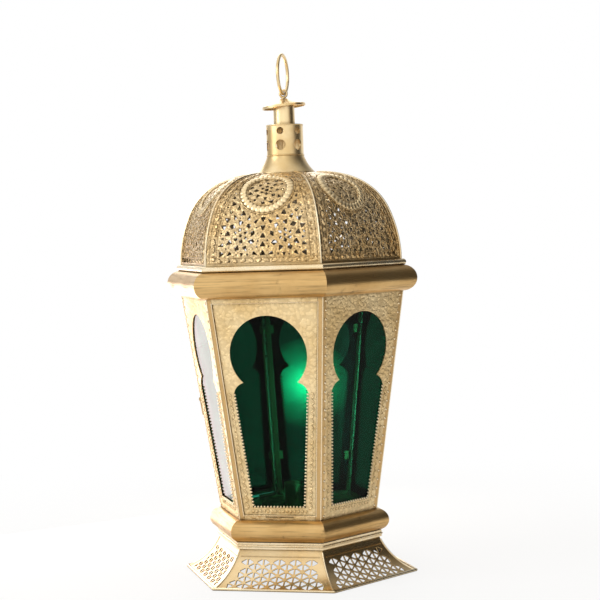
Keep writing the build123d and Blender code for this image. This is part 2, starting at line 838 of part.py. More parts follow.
cap_plane = Plane(origin=(0, 0, cap_z)).rotated((0, cap_tilt, 0))
cap_section = Plane(origin=cap_plane.origin, x_dir=cap_plane.x_dir, z_dir=-cap_plane.y_dir)
with BuildPart() as finial_cap:
    with BuildSketch(cap_section):
        with BuildLine():
            Polyline(
                (bolt_radius + cap_play, cap_rise),
                (cap_top_radius, cap_rise),
                (cap_radius, 0),
                (cap_radius, -cap_lip),
                (cap_radius - sheet, -cap_lip),
                (cap_radius - sheet, sheet * cap_slope - cap_depth),
                (cap_top_radius, cap_rise - cap_depth),
                (bolt_radius + cap_play, cap_rise - cap_depth),
                close=True,
            )
        make_face()
    revolve(axis=Axis(cap_plane.origin, cap_plane.z_dir))
write_piece(finial_cap, "finial_cap")

# Eye bolt through cap, stem and chimney, drawn down on the crown washer by a nut
washer_z = crown_z - sheet - washer_sheet
nut_z = washer_z - nut_thickness
eye_middle = eye_bore + eye_wire / 2
eye_outer = eye_bore + eye_wire
eye_z = cap_z + cap_rise + cap_top_radius * sin(radians(abs(cap_tilt))) + eye_outer
with BuildPart() as eye_bolt:
    with BuildSketch(Plane.XY.offset(nut_z - bolt_tail)):
        Circle(bolt_radius)
    extrude(amount=eye_z - eye_middle - nut_z + bolt_tail)
    with BuildSketch(Plane.XY.offset(eye_z)):
        with Locations((eye_middle, 0)):
            Circle(eye_wire / 2)
    revolve(axis=Axis((0, 0, eye_z), (0, 1, 0)))
write_piece(eye_bolt, "eye_bolt")

with BuildPart() as crown_washer:
    with BuildSketch(Plane.XY.offset(washer_z)):
        Circle(washer_radius)
        Circle(bolt_bore, mode=Mode.SUBTRACT)
        with PolarLocations(washer_vent_reach, face_count):
            Circle(washer_vent_radius, mode=Mode.SUBTRACT)
    extrude(amount=washer_sheet)
write_piece(crown_washer, "crown_washer")

with BuildPart() as crown_nut:
    with BuildSketch(Plane.XY.offset(nut_z)):
        RegularPolygon(nut_across / 2, 6, major_radius=False)
        Circle(bolt_radius + run_gap, mode=Mode.SUBTRACT)
    extrude(amount=nut_thickness)
write_piece(crown_nut, "crown_nut")

# Hanging ring, loose in the eye
with BuildPart() as hanging_ring:
    with BuildSketch(Plane.XZ):
        with Locations((0, eye_z)):
            Circle(ring_wire / 2)
    revolve(axis=Axis((0, 0, eye_z + ring_radius), (1, 0, 0)))
write_piece(hanging_ring, "hanging_ring")
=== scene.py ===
"""Looks of a six-sided brass hanging lantern with green glass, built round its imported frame.

Lengths are metres, +Z is up and the origin is on the floor under the lantern's axis. Face 0 looks
along -Y, and the faces are counted anticlockwise from above.
"""

import json
import logging
import math
import random
from abc import ABC, abstractmethod
from dataclasses import asdict, dataclass
from enum import Enum
from typing import Any, Iterable, Optional, Sequence, Union

import bmesh
import bpy
from mathutils import Matrix, Vector


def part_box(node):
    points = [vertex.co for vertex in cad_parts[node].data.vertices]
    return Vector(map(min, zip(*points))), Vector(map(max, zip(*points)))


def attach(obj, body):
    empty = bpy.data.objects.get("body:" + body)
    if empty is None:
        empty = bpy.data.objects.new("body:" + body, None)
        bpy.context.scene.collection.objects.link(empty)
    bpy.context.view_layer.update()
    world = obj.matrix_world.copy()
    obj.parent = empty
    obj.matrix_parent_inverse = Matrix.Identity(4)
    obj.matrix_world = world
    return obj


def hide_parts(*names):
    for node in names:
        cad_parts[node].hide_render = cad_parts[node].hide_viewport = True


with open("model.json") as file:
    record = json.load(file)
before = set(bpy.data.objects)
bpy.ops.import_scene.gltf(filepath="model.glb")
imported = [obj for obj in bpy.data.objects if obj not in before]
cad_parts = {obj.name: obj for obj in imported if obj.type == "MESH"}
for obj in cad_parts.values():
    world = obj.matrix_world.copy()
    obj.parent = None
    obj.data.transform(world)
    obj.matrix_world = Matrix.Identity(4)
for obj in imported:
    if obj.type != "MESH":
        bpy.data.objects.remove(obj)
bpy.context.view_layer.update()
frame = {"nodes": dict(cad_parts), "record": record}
log = logging.getLogger("lantern")

FACES = 6
FACE_TURN = 2 * math.pi / FACES
MITRE = math.tan(FACE_TURN / 2)
MM = 0.001
SMOOTH_BELOW = math.radians(32)

SIDES = (-1, 1)
WHITE = (1.0, 1.0, 1.0, 1.0)

Point = tuple[float, float]
Triple = tuple[float, float, float]
Colour = Triple
Plug = Union["Value", float, int, bool, str, tuple, list]
Plugs = dict[Union[int, str], Plug]


class Value:
    """An output socket of a node tree. Arithmetic on it adds Math nodes."""

    def __init__(self, graph: "Graph", socket: Optional[bpy.types.NodeSocket]) -> None:
        """Keeps the socket and the graph that it belongs to."""
        self.graph = graph
        self.socket = socket

    def __add__(self, other: Plug) -> "Value":
        """The sum of both."""
        return self.graph.math("ADD", self, other)

    __radd__ = __add__

    def __sub__(self, other: Plug) -> "Value":
        """This value less the other."""
        return self.graph.math("SUBTRACT", self, other)

    def __rsub__(self, other: Plug) -> "Value":
        """The other value less this one."""
        return self.graph.math("SUBTRACT", other, self)

    def __mul__(self, other: Plug) -> "Value":
        """The product of both."""
        return self.graph.math("MULTIPLY", self, other)

    __rmul__ = __mul__

    def __pow__(self, other: Plug) -> "Value":
        """This value raised to the other."""
        return self.graph.math("POWER", self, other)


class Graph:
    """A node tree that gets its nodes through one method."""

    def __init__(self, tree: bpy.types.NodeTree) -> None:
        """Starts on an emptied tree."""
        self.tree = tree
        tree.nodes.clear()

    def node(
        self,
        kind: str,
        settings: Optional[dict[str, Any]] = None,
        inputs: Optional[Plugs] = None,
        output: Union[int, str] = 0,
    ) -> Value:
        """Adds any node.

        Args:
            kind: Blender's type name of the node.
            settings: Its properties, which are set first.
            inputs: Values or links for its sockets, by name or index.
            output: Which output is handed back.

        Returns:
            The chosen output, or an empty value where the node has none.
        """
        made = self.tree.nodes.new(kind)
        for name, setting in (settings or {}).items():
            setattr(made, name, setting)
        for key, plug in (inputs or {}).items():
            for single in plug if isinstance(plug, list) else [plug]:
                if isinstance(single, Value):
                    self.tree.links.new(single.socket, made.inputs[key])
                else:
                    made.inputs[key].default_value = single
        return Value(self, made.outputs[output] if made.outputs else None)

    def math(self, operation: str, *values: Plug) -> Value:
        """A Math node on one to three values."""
        return self.node("ShaderNodeMath", {"operation": operation}, dict(enumerate(values)))

    def vector(self, across: Plug, along: Plug, up: Plug) -> Value:
        """A vector of three values."""
        return self.node("ShaderNodeCombineXYZ", None, {0: across, 1: along, 2: up})

    def split(self, vector: Value) -> list[Value]:
        """The three parts of a vector."""
        parts = self.node("ShaderNodeSeparateXYZ", None, {0: vector}).socket.node.outputs
        return [Value(self, part) for part in parts]

    def span(self, value: Value, low: float, high: float) -> Value:
        """The value with low brought to 0 and high to 1, eased and held there."""
        settings = {"interpolation_type": "SMOOTHSTEP"}
        return self.node("ShaderNodeMapRange", settings, {0: value, 1: low, 2: high, 3: 0.0, 4: 1.0})


@dataclass(frozen=True)
class Bump:
    """A small relief: the width of its pattern, its depth in metres and how much of it shows."""

    size: float
    depth: float
    strength: float


DENTS = Bump(0.022, 0.0012, 0.30)
LEAVES = Bump(0.0036, 0.0006, 0.50)
SCROLLS = Bump(0.0038, 0.0012, 0.70)
DRAW_LINES = Bump(0.0016, 0.0003, 0.35)
LATHE_RINGS = Bump(0.0009, 0.00025, 0.35)
WAVES = Bump(0.055, 0.0016, 0.35)


class Paint(Graph):
    """The node tree of one material."""

    def __init__(self, name: str) -> None:
        """Makes the material with an empty tree."""
        self.material = bpy.data.materials.new(name)
        self.material.use_nodes = True
        super().__init__(self.material.node_tree)

    def place(self, stretch: Triple = (1.0, 1.0, 1.0)) -> Value:
        """Object coordinates, scaled along the three axes."""
        coordinates = self.node("ShaderNodeTexCoord", output="Object")
        return self.node("ShaderNodeMapping", None, {"Vector": coordinates, "Scale": stretch})

    def noise(self, where: Value, size: float, detail: float = 3.0, rough: float = 0.55) -> Value:
        """Noise between 0 and 1 in patches of a size, with its octaves and how much the finer ones count."""
        inputs = {"Vector": where, "Scale": 1.0 / size, "Detail": detail, "Roughness": rough}
        return self.node("ShaderNodeTexNoise", None, inputs)

    def cells(self, where: Value, size: float) -> Value:
        """Distance from the middles of softly bounded cells of a size."""
        inputs = {"Vector": where, "Scale": 1.0 / size, "Smoothness": 0.25}
        return self.node("ShaderNodeTexVoronoi", {"feature": "SMOOTH_F1"}, inputs)

    def attribute(self, label: str) -> Value:
        """A number that the mesh carries, 0 where it has none."""
        return self.node("ShaderNodeAttribute", {"attribute_name": label}, output="Fac")

    def from_corner(self) -> Value:
        """Distance from the nearest upright corner of the six-sided plan, along the face."""
        x, y, _ = self.split(self.node("ShaderNodeTexCoord", output="Object"))
        around = self.math("ARCTAN2", y, x) + math.pi / 2
        folded = self.math("WRAP", around, FACE_TURN / 2, -FACE_TURN / 2)
        reach = (x * x + y * y) ** 0.5
        across = self.math("ABSOLUTE", self.math("SINE", folded)) * reach
        return self.math("COSINE", folded) * reach * MITRE - across

    def held(self, value: Value) -> Value:
        """The value kept between 0 and 1."""
        return self.node("ShaderNodeClamp", None, {0: value})

    def blend(self, share: Plug, first: Plug, second: Plug) -> Value:
        """A colour between two, the first at a share of 0 and the second at 1."""
        first, second = ((*c, 1.0) if isinstance(c, tuple) else c for c in (first, second))
        return self.node("ShaderNodeMix", {"data_type": "RGBA"}, {0: share, 6: first, 7: second}, 2)

    def relief(self, height: Value, bump: Bump, onto: Optional[Value] = None) -> Value:
        """A normal bent by a height pattern.

        Args:
            height: Pattern between 0 and 1.
            bump: Its depth and strength.
            onto: A normal that is bent already.

        Returns:
            The bent normal.
        """
        inputs: Plugs = {"Height": height, "Distance": bump.depth, "Strength": bump.strength}
        if onto is not None:
            inputs["Normal"] = onto
        return self.node("ShaderNodeBump", None, inputs)

    def finish(self, inputs: Plugs) -> bpy.types.Material:
        """Closes the tree with a Principled shader.

        Args:
            inputs: Values or links for the shader.

        Returns:
            The material.
        """
        shader = self.node("ShaderNodeBsdfPrincipled", None, inputs)
        self.node("ShaderNodeOutputMaterial", None, {"Surface": shader})
        return self.material


Relief = tuple[Value, Plug, Plug]


class Slot(Enum):
    """Material slots of the record."""

    PANEL = "panel_brass"
    PIERCED = "pierced_brass"
    MOULDING = "moulding_brass"
    FINIAL = "finial_brass"
    FITTING = "fitting_brass"
    GLASS = "green_glass"


class Look(Enum):
    """Finishes of the lantern. The first six are those of the slots of the same name."""

    PANEL = 1
    PIERCED = 2
    MOULDING = 3
    FINIAL = 4
    FITTING = 5
    GLASS = 6
    TRIM = 7
    RAISED = 8


class Marks(Enum):
    """What the making left on a brass surface."""

    STIPPLED = "stippled"
    CHASED = "chased"
    DRAWN = "drawn"
    TURNED = "turned"


@dataclass(frozen=True)
class BrassFinish:
    """Old brass: polished colour, dark patches, painted shade in the corners and the marks of its making."""

    name: str
    slot: Slot
    marks: Marks
    pale: Colour
    gold: Colour
    # Dark colour of the real tarnish spots and of the painted shade in corners and creases.
    tarnish: Colour = (0.115, 0.072, 0.030)
    # Colour of the darkened inside: candle soot together with painted shade of the closed-in dome.
    soot_and_shade: Colour = (0.085, 0.058, 0.030)
    fold: Colour = (0.78, 0.50, 0.21)
    gloss: float = 0.24
    dull: float = 0.42
    tarnish_share: float = 0.35
    patch_size: float = 0.045
    worn_span: Point = (0.36, 0.66)
    spot_scale: float = 0.3
    spot_span: Point = (0.58, 0.80)
    grain_size: float = 0.004
    # Reach and strength of the painted shade that ambient occlusion lays in corners, creases and joints.
    dirt_reach: float = 0.0035
    dirt_gain: float = 1.3
    flange: float = 0.0046
    leaf_drift: float = 0.0045
    drift_size: float = 0.007
    leaf_span: Point = (0.64, 0.34)
    dot_size: float = 0.0012
    plain_below: float = 0.2915
    sooted: bool = False

    def material(self) -> bpy.types.Material:
        """Builds the material."""
        paint = Paint(self.name)
        where = paint.place()
        patches = paint.noise(where, self.patch_size, 4.0)
        grain = paint.noise(where, self.grain_size, 4.0)
        # Ambient occlusion darkens corners, creases and joints between parts: painted shade, mottled by the
        # grain.
        inputs: Plugs = {"Distance": self.dirt_reach}
        corners = paint.node("ShaderNodeAmbientOcclusion", {"samples": 4}, inputs, "AO")
        crevice_shade = paint.held((1.0 - corners) * self.dirt_gain) * (0.35 + 0.9 * grain)
        worn = paint.span(patches, *self.worn_span)
        spots = paint.span(paint.noise(where, self.patch_size * self.spot_scale, 5.0, 0.65), *self.spot_span)
        # Real tarnish spots joined with the painted shade in the corners.
        tarnish = paint.held(crevice_shade + spots * self.tarnish_share * (0.4 + worn))
        colour = paint.blend(worn * 0.8 + grain * 0.2, self.pale, self.gold)
        normal, hollows, plain = self.relief(paint, where, grain)
        tarnish = paint.held(tarnish + hollows)
        if self.marks is Marks.STIPPLED:
            colour = paint.blend(0.85 * (1.0 - plain), colour, self.fold)
        # Darkens towards the tarnish colour, for real tarnish and for painted shade.
        colour = paint.blend(tarnish, colour, self.tarnish)
        roughness = self.gloss + (self.dull - self.gloss) * (0.65 * patches + 0.35 * grain) * plain
        inputs = {"Metallic": 1.0, "Normal": normal}
        # Inner face and hole walls of the pierced sheets go dark: soot and painted shade of the enclosed
        # inside.
        if self.sooted:
            soot_and_shade = paint.attribute("soot_and_shade")
            colour = paint.blend(soot_and_shade, colour, self.soot_and_shade)
            roughness = roughness + 0.25 * soot_and_shade
            inputs["Metallic"] = 1.0 - 0.5 * soot_and_shade
        inputs["Base Color"] = colour
        inputs["Roughness"] = paint.held(roughness + 0.25 * tarnish)
        return paint.finish(inputs)

    def relief(self, paint: Paint, where: Value, grain: Value) -> Relief:
        """The small relief of the surface.

        Args:
            paint: Tree that is being built.
            where: Object coordinates.
            grain: Fine noise that the colour uses too.

        Returns:
            The bent normal, how much dirt its hollows hold, and where the surface is matte.
        """
        dents = paint.relief(paint.noise(where, DENTS.size, 1.0), DENTS)
        if self.marks is Marks.STIPPLED:
            return self.stippled(paint, where, dents)
        if self.marks is Marks.CHASED:
            chased = paint.span(paint.split(where)[2], self.plain_below, self.plain_below + MM)
            scroll = paint.span(paint.noise(where, SCROLLS.size, 2.0, 0.45), 0.34, 0.64)
            return paint.relief(scroll * chased, SCROLLS, dents), (1.0 - scroll) * chased * 0.28, 1.0
        if self.marks is Marks.DRAWN:
            lines = paint.noise(paint.place((0.05, 0.05, 1.0)), DRAW_LINES.size, 3.0)
            return paint.relief(lines, DRAW_LINES, dents), paint.span(lines, 0.46, 0.80) * 0.50, 1.0
        rings = paint.noise(paint.place((0.10, 0.10, 1.0)), LATHE_RINGS.size, 2.0)
        return paint.relief(rings * 0.6 + grain * 0.4, LATHE_RINGS, dents), 0.0, 1.0

    def stippled(self, paint: Paint, where: Value, dents: Value) -> Relief:
        """Leafy relief with fine dots between the flanges of a panel, which stay plain.

        Args:
            paint: Tree that is being built.
            where: Object coordinates.
            dents: Normal with the larger dents.

        Returns:
            The bent normal, how much dirt its hollows hold, and where the surface is matte.
        """
        inputs: Plugs = {"Vector": where, "Scale": 1.0 / self.drift_size}
        drift = paint.node("ShaderNodeTexNoise", None, inputs, "Color")
        inputs = {0: drift, 1: (self.leaf_drift,) * 3, 2: where}
        leafy = paint.node("ShaderNodeVectorMath", {"operation": "MULTIPLY_ADD"}, inputs)
        leaves = paint.span(paint.cells(leafy, LEAVES.size), *self.leaf_span)
        dots = paint.cells(where, self.dot_size)
        matte = paint.span(paint.from_corner(), self.flange * 0.85, self.flange * 1.05)
        height = (leaves + 0.30 * (1.0 - dots)) * matte
        hollows = (1.0 - leaves) * matte * 0.15 + (1.0 - matte) * 0.22
        return paint.relief(height, LEAVES, dents), hollows, matte


@dataclass(frozen=True)
class GlassFinish:
    """Deep green window glass, slightly wavy and smeared."""

    name: str = "green_glass_pane"
    slot: Slot = Slot.GLASS
    deep: Colour = (0.005, 0.116, 0.078)
    light: Colour = (0.011, 0.184, 0.116)
    refraction: float = 1.15
    streak_size: float = 0.018
    smear_size: float = 0.03

    def material(self) -> bpy.types.Material:
        """Builds the material."""
        paint = Paint(self.name)
        where = paint.place()
        streaks = paint.noise(paint.place((1.0, 1.0, 0.18)), self.streak_size, 3.0)
        smears = paint.span(paint.noise(where, self.smear_size, 4.0, 0.65), 0.45, 0.75)
        return paint.finish({
            "Base Color": paint.blend(streaks, self.deep, self.light),
            "Roughness": 0.03 + 0.06 * smears,
            "IOR": self.refraction,
            "Transmission Weight": 1.0,
            "Normal": paint.relief(paint.noise(where, WAVES.size, 1.0), WAVES),
        })


Finish = Union[BrassFinish, GlassFinish]

# Near-white cream, paler than the other brass: a painted highlight on the trim.
HIGHLIGHT_IVORY = (0.95, 0.83, 0.60)
STRAW = (0.95, 0.76, 0.45)
PALE = (0.85, 0.66, 0.385)
GOLD = (0.77, 0.55, 0.255)
HONEY = (0.71, 0.475, 0.205)
OCHRE = (0.60, 0.375, 0.145)

FINISHES: dict[Look, Finish] = {
    Look.PANEL: BrassFinish("stippled_panel_brass", Slot.PANEL, Marks.STIPPLED, STRAW, GOLD,
                            gloss=0.30, dull=0.56),
    Look.PIERCED: BrassFinish("chased_pierced_brass", Slot.PIERCED, Marks.CHASED, PALE, HONEY,
                              # Pierced sheets are darkened inside: soot and painted shade.
                              tarnish_share=0.45, gloss=0.16, dull=0.32, sooted=True),
    Look.MOULDING: BrassFinish("drawn_moulding_brass", Slot.MOULDING, Marks.DRAWN, HONEY, OCHRE,
                               gloss=0.22, dull=0.40, tarnish_share=0.75),
    Look.FINIAL: BrassFinish("turned_finial_brass", Slot.FINIAL, Marks.TURNED, STRAW, GOLD,
                             gloss=0.22, dull=0.40, patch_size=0.025),
    Look.FITTING: BrassFinish("plain_fitting_brass", Slot.FITTING, Marks.TURNED, GOLD, OCHRE,
                              tarnish_share=0.7, gloss=0.30, dull=0.50, patch_size=0.03),
    Look.GLASS: GlassFinish(),
    Look.RAISED: BrassFinish("raised_ornament_brass", Slot.PIERCED, Marks.TURNED, STRAW, PALE,
                             tarnish_share=0.30, gloss=0.22, dull=0.36, dirt_reach=0.0022),
    # Pale copy of the brass for seams, rolls, edging and the bands, paler as a painted highlight.
    Look.TRIM: BrassFinish("highlight_trim_brass", Slot.MOULDING, Marks.TURNED, HIGHLIGHT_IVORY, PALE,
                           tarnish_share=0.15, gloss=0.20, dull=0.34, dirt_reach=0.0016),
}

# Bands given the pale trim finish, a painted highlight for their bright reflection.
HIGHLIGHT_BANDS = ("dome_band", "base_band")


class Workshop:
    """Makes each material once and gives finished pieces their body and material."""

    def __init__(self) -> None:
        """Builds the materials of all finishes."""
        self.materials = {look: finish.material() for look, finish in FINISHES.items()}

    def hand_over(
        self,
        piece: bpy.types.Object,
        look: Look,
        body: str = "lantern",
        stands_for: Sequence[str] = (),
    ) -> bpy.types.Object:
        """Joins a finished piece to the frame.

        Args:
            piece: Object with its place in its mesh.
            look: Its finish.
            body: Body that it moves with.
            stands_for: CAD nodes that it replaces.

        Returns:
            The same piece.
        """
        piece.data.materials.clear()
        piece.data.materials.append(self.materials[look])
        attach(piece, body)
        if stands_for:
            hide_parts(*stands_for)
        log.info("%s: %d faces on %s", piece.name, len(piece.data.polygons), body)
        return piece

    def dress_nodes(self) -> None:
        """Gives every CAD node the material of its slot in the record, but the two bands the pale trim finish
        as a painted highlight.
        """
        for row in frame["record"]["subparts"]:
            node = frame["nodes"][row["node"]]
            look = Look.TRIM if row["node"] in HIGHLIGHT_BANDS else Look[Slot(row["material_slot"]).name]
            material = self.materials[look]
            if not node.material_slots:
                node.data.materials.append(material)
            for holder in node.material_slots:
                holder.material = material
            log.info("%s: %s", row["node"], material.name)


def new_piece(name: str, mesh: bpy.types.Mesh) -> bpy.types.Object:
    """Puts a mesh into the scene.

    Args:
        name: Name of the piece.
        mesh: Its mesh.

    Returns:
        The new object, at the origin.
    """
    piece = bpy.data.objects.new(name, mesh)
    bpy.context.scene.collection.objects.link(piece)
    return piece


def smooth_mesh(mesh: bpy.types.Mesh) -> None:
    """Shades a mesh smooth, apart from its sharp edges."""
    mesh.polygons.foreach_set("use_smooth", [True] * len(mesh.polygons))
    mesh.set_sharp_from_angle(angle=SMOOTH_BELOW)
    mesh.update()


class Sheet(ABC):
    """One face of the lantern as a surface: across it, along its section, below its outside."""

    face: int

    @abstractmethod
    def place(self, across: float, along: float, depth: float = 0.0) -> Vector:
        """The point at a place on the sheet, depth below its outside."""

    @abstractmethod
    def half_width(self, along: float) -> float:
        """Half the sheet's width at a length along it."""

    def out(self, across: float, along: float) -> Vector:
        """The direction out of the sheet at a place on it."""
        return (self.place(across, along) - self.place(across, along, MM)).normalized()

    def turned(self, point: Vector) -> Vector:
        """A point of the front face, turned to this face."""
        return Matrix.Rotation(self.face * FACE_TURN, 3, "Z") @ point


@dataclass(frozen=True)
class BodyPlan:
    """Levels and apothems of the tapered body, read from the mouldings that it stands between."""

    foot_z: float
    head_z: float
    foot_apothem: float
    head_apothem: float

    @classmethod
    def from_frame(cls) -> "BodyPlan":
        """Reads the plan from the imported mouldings."""
        lower_low, lower_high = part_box("lower_bead")
        upper_low, upper_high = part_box("upper_bead")
        lower_radius = (lower_high.z - lower_low.z) / 2
        upper_radius = (upper_high.z - upper_low.z) / 2
        return cls(
            lower_high.z,
            upper_low.z,
            lower_high.y - lower_radius,
            upper_high.y - upper_radius,
        )

    @property
    def slope(self) -> float:
        """Length of a face along its middle."""
        return math.hypot(self.head_z - self.foot_z, self.head_apothem - self.foot_apothem)


@dataclass(frozen=True)
class BodyFace(Sheet):
    """A flat face of the tapered body."""

    plan: BodyPlan
    face: int

    def place(self, across: float, along: float, depth: float = 0.0) -> Vector:
        """The point at a place on the face, depth below its outside."""
        lean = (self.plan.head_apothem - self.plan.foot_apothem) / self.plan.slope
        stand = (self.plan.head_z - self.plan.foot_z) / self.plan.slope
        apothem = self.plan.foot_apothem + lean * along - stand * depth
        return self.turned(Vector((across, -apothem, self.plan.foot_z + stand * along + lean * depth)))

    def half_width(self, along: float) -> float:
        """Half the face's width at a length up its slope."""
        return -BodyFace(self.plan, 0).place(0.0, along).y * MITRE


@dataclass(frozen=True)
class ArcSection:
    """A sheet's section: where it starts, how far it leans in, and the arcs that follow."""

    apothem: float
    rise: float
    lean: float
    arcs: tuple[Point, ...]

    @property
    def bent_length(self) -> float:
        """Length of all the arcs."""
        return sum(radius * turn for radius, turn in self.arcs)

    def at(self, along: float) -> tuple[float, float, float]:
        """The section at a length along it.

        Args:
            along: Length from the start; past the arcs the section runs straight on.

        Returns:
            Apothem, height and lean from upright.
        """
        apothem, rise, lean = self.apothem, self.rise, self.lean
        for radius, turn in self.arcs:
            used = min(along, radius * turn)
            new_lean = lean + used / radius
            apothem -= radius * (math.cos(lean) - math.cos(new_lean))
            rise += radius * (math.sin(new_lean) - math.sin(lean))
            lean = new_lean
            along -= used
        return apothem - math.sin(lean) * along, rise + math.cos(lean) * along, lean


@dataclass(frozen=True)
class BentFace(Sheet):
    """A face whose section is made of arcs, mitred against its neighbours."""

    section: ArcSection
    face: int

    def place(self, across: float, along: float, depth: float = 0.0) -> Vector:
        """The point at a place on the face, depth below its outside and never below the floor."""
        apothem, rise, lean = self.section.at(along)
        inner = apothem - math.cos(lean) * depth
        height = max(rise - math.sin(lean) * depth, 0.0)
        return self.turned(Vector((across * inner / apothem, -inner, height)))

    def half_width(self, along: float) -> float:
        """Half the face's width at a length along its section."""
        return self.section.at(along)[0] * MITRE


TRIANGLE_REACH = 0.6


class Cut(Enum):
    """Shapes of the piercing punches."""

    WEDGE = 0
    ROUND = 1
    TRIANGLE = 2


@dataclass(frozen=True)
class Hole:
    """One pierced hole: its place on the flat sheet, turn, size and shape."""

    across: float
    along: float
    turn: float
    length: float
    width: float
    cut: Cut = Cut.WEDGE

    def discs(self) -> list[tuple[float, float, float]]:
        """Discs that cover the hole, for keeping bars of metal between holes."""
        if self.cut is Cut.TRIANGLE or self.length < 1.3 * self.width:
            return [(self.across, self.along, 0.5 * max(self.length, self.width))]
        step = (self.length - self.width) / 2
        return [
            (self.across + share * step * math.cos(self.turn),
             self.along + share * step * math.sin(self.turn),
             self.width / 2)
            for share in (-1.0, 0.0, 1.0)
        ]

    def mirrored(self) -> "Hole":
        """The same hole on the other side of the panel's middle."""
        return Hole(-self.across, self.along, math.pi - self.turn, self.length, self.width, self.cut)

    def shrunk(self, share: float) -> "Hole":
        """The same hole at a share of its size."""
        return Hole(self.across, self.along, self.turn, self.length * share, self.width * share, self.cut)

    def clear_of(self, others: Iterable["Hole"], bar: float) -> bool:
        """Whether a bar of metal is left between this hole and all the others."""
        own = self.discs()
        return all(
            math.hypot(x - other_x, y - other_y) >= r + other_r + bar
            for other in others
            for other_x, other_y, other_r in other.discs()
            for x, y, r in own
        )


@dataclass(frozen=True)
class PetalRing:
    """A ring of wedge holes, from its inner tips to its outer ends.

    Phase turns the whole ring, and twist turns each hole against its own spoke.
    """

    start: float
    end: float
    width: float
    count: int
    phase: float = 0.0
    twist: float = 0.0

    def holes(self, centre: Point) -> list[Hole]:
        """The holes of the ring.

        Args:
            centre: Place of the ring's centre.

        Returns:
            The holes, all alike.
        """
        middle = (self.start + self.end) / 2
        spokes = (self.phase + 2 * math.pi * number / self.count for number in range(self.count))
        return [
            Hole(
                centre[0] + middle * math.cos(spoke),
                centre[1] + middle * math.sin(spoke),
                spoke + self.twist,
                self.end - self.start,
                self.width,
            )
            for spoke in spokes
        ]


class ShapeTree(Graph):
    """A Geometry Nodes tree with named inputs, settled into plain meshes."""

    def __init__(self, name: str, inputs: dict[str, str]) -> None:
        """Makes the tree.

        Args:
            name: Name of the tree.
            inputs: Kind of each named input: Float, Int or Vector.
        """
        super().__init__(bpy.data.node_groups.new(name, "GeometryNodeTree"))
        face = self.tree.interface
        face.new_socket("Geometry", in_out="OUTPUT", socket_type="NodeSocketGeometry")
        face.new_socket("Geometry", in_out="INPUT", socket_type="NodeSocketGeometry")
        self.keys = {
            label: face.new_socket(label, in_out="INPUT", socket_type=f"NodeSocket{kind}").identifier
            for label, kind in {**inputs, "Material": "Material"}.items()
        }
        self.entry = self.tree.nodes.new("NodeGroupInput")

    def given(self, label: str) -> Value:
        """One of the tree's own inputs."""
        return Value(self, self.entry.outputs[label])

    def attribute(self, label: str, kind: str) -> Value:
        """A named attribute of the geometry."""
        return self.node("GeometryNodeInputNamedAttribute", {"data_type": kind}, {"Name": label})

    def lines(self) -> Value:
        """The edges of the starting mesh as curves."""
        return self.node("GeometryNodeMeshToCurve", None, {"Mesh": self.given("Geometry")})

    def realized(self, shape: Value) -> Value:
        """A shape whose instances are made real."""
        return self.node("GeometryNodeRealizeInstances", None, {"Geometry": shape})

    def set_bosses(self, points: Value, turn: Value, segments: int, rings: int) -> None:
        """Sets a rounded boss of the given Size on every point and ends the tree.

        Args:
            points: Where the bosses stand.
            turn: How each one is turned.
            segments: Sides of a boss.
            rings: Steps from its foot to its head.
        """
        inputs: Plugs = {"Segments": segments, "Rings": rings, "Radius": 0.5}
        boss = self.node("GeometryNodeMeshUVSphere", None, inputs)
        inputs = {"Points": points, "Instance": boss, "Rotation": turn, "Scale": self.given("Size")}
        bosses = self.realized(self.node("GeometryNodeInstanceOnPoints", None, inputs))
        self.close(self.node("GeometryNodeSetShadeSmooth", None, {"Geometry": bosses}))

    def close(self, shape: Value) -> None:
        """Realizes the shape, gives it its material and ends the tree."""
        inputs: Plugs = {"Geometry": self.realized(shape), "Material": self.given("Material")}
        dressed = self.node("GeometryNodeSetMaterial", None, inputs)
        self.node("NodeGroupOutput", None, {"Geometry": dressed})

    def settle(self, start: bpy.types.Mesh, values: dict[str, Any]) -> bpy.types.Mesh:
        """Runs the tree on a mesh.

        Args:
            start: Mesh that the tree works on.
            values: Values of the named inputs.

        Returns:
            The result as a plain mesh.
        """
        holder = new_piece(start.name, start)
        modifier = holder.modifiers.new("shape", "NODES")
        modifier.node_group = self.tree
        for label, value in values.items():
            modifier[self.keys[label]] = value
        depsgraph = bpy.context.evaluated_depsgraph_get()
        result = bpy.data.meshes.new_from_object(holder.evaluated_get(depsgraph), depsgraph=depsgraph)
        holder.modifiers.remove(modifier)
        bpy.data.objects.remove(holder)
        return result


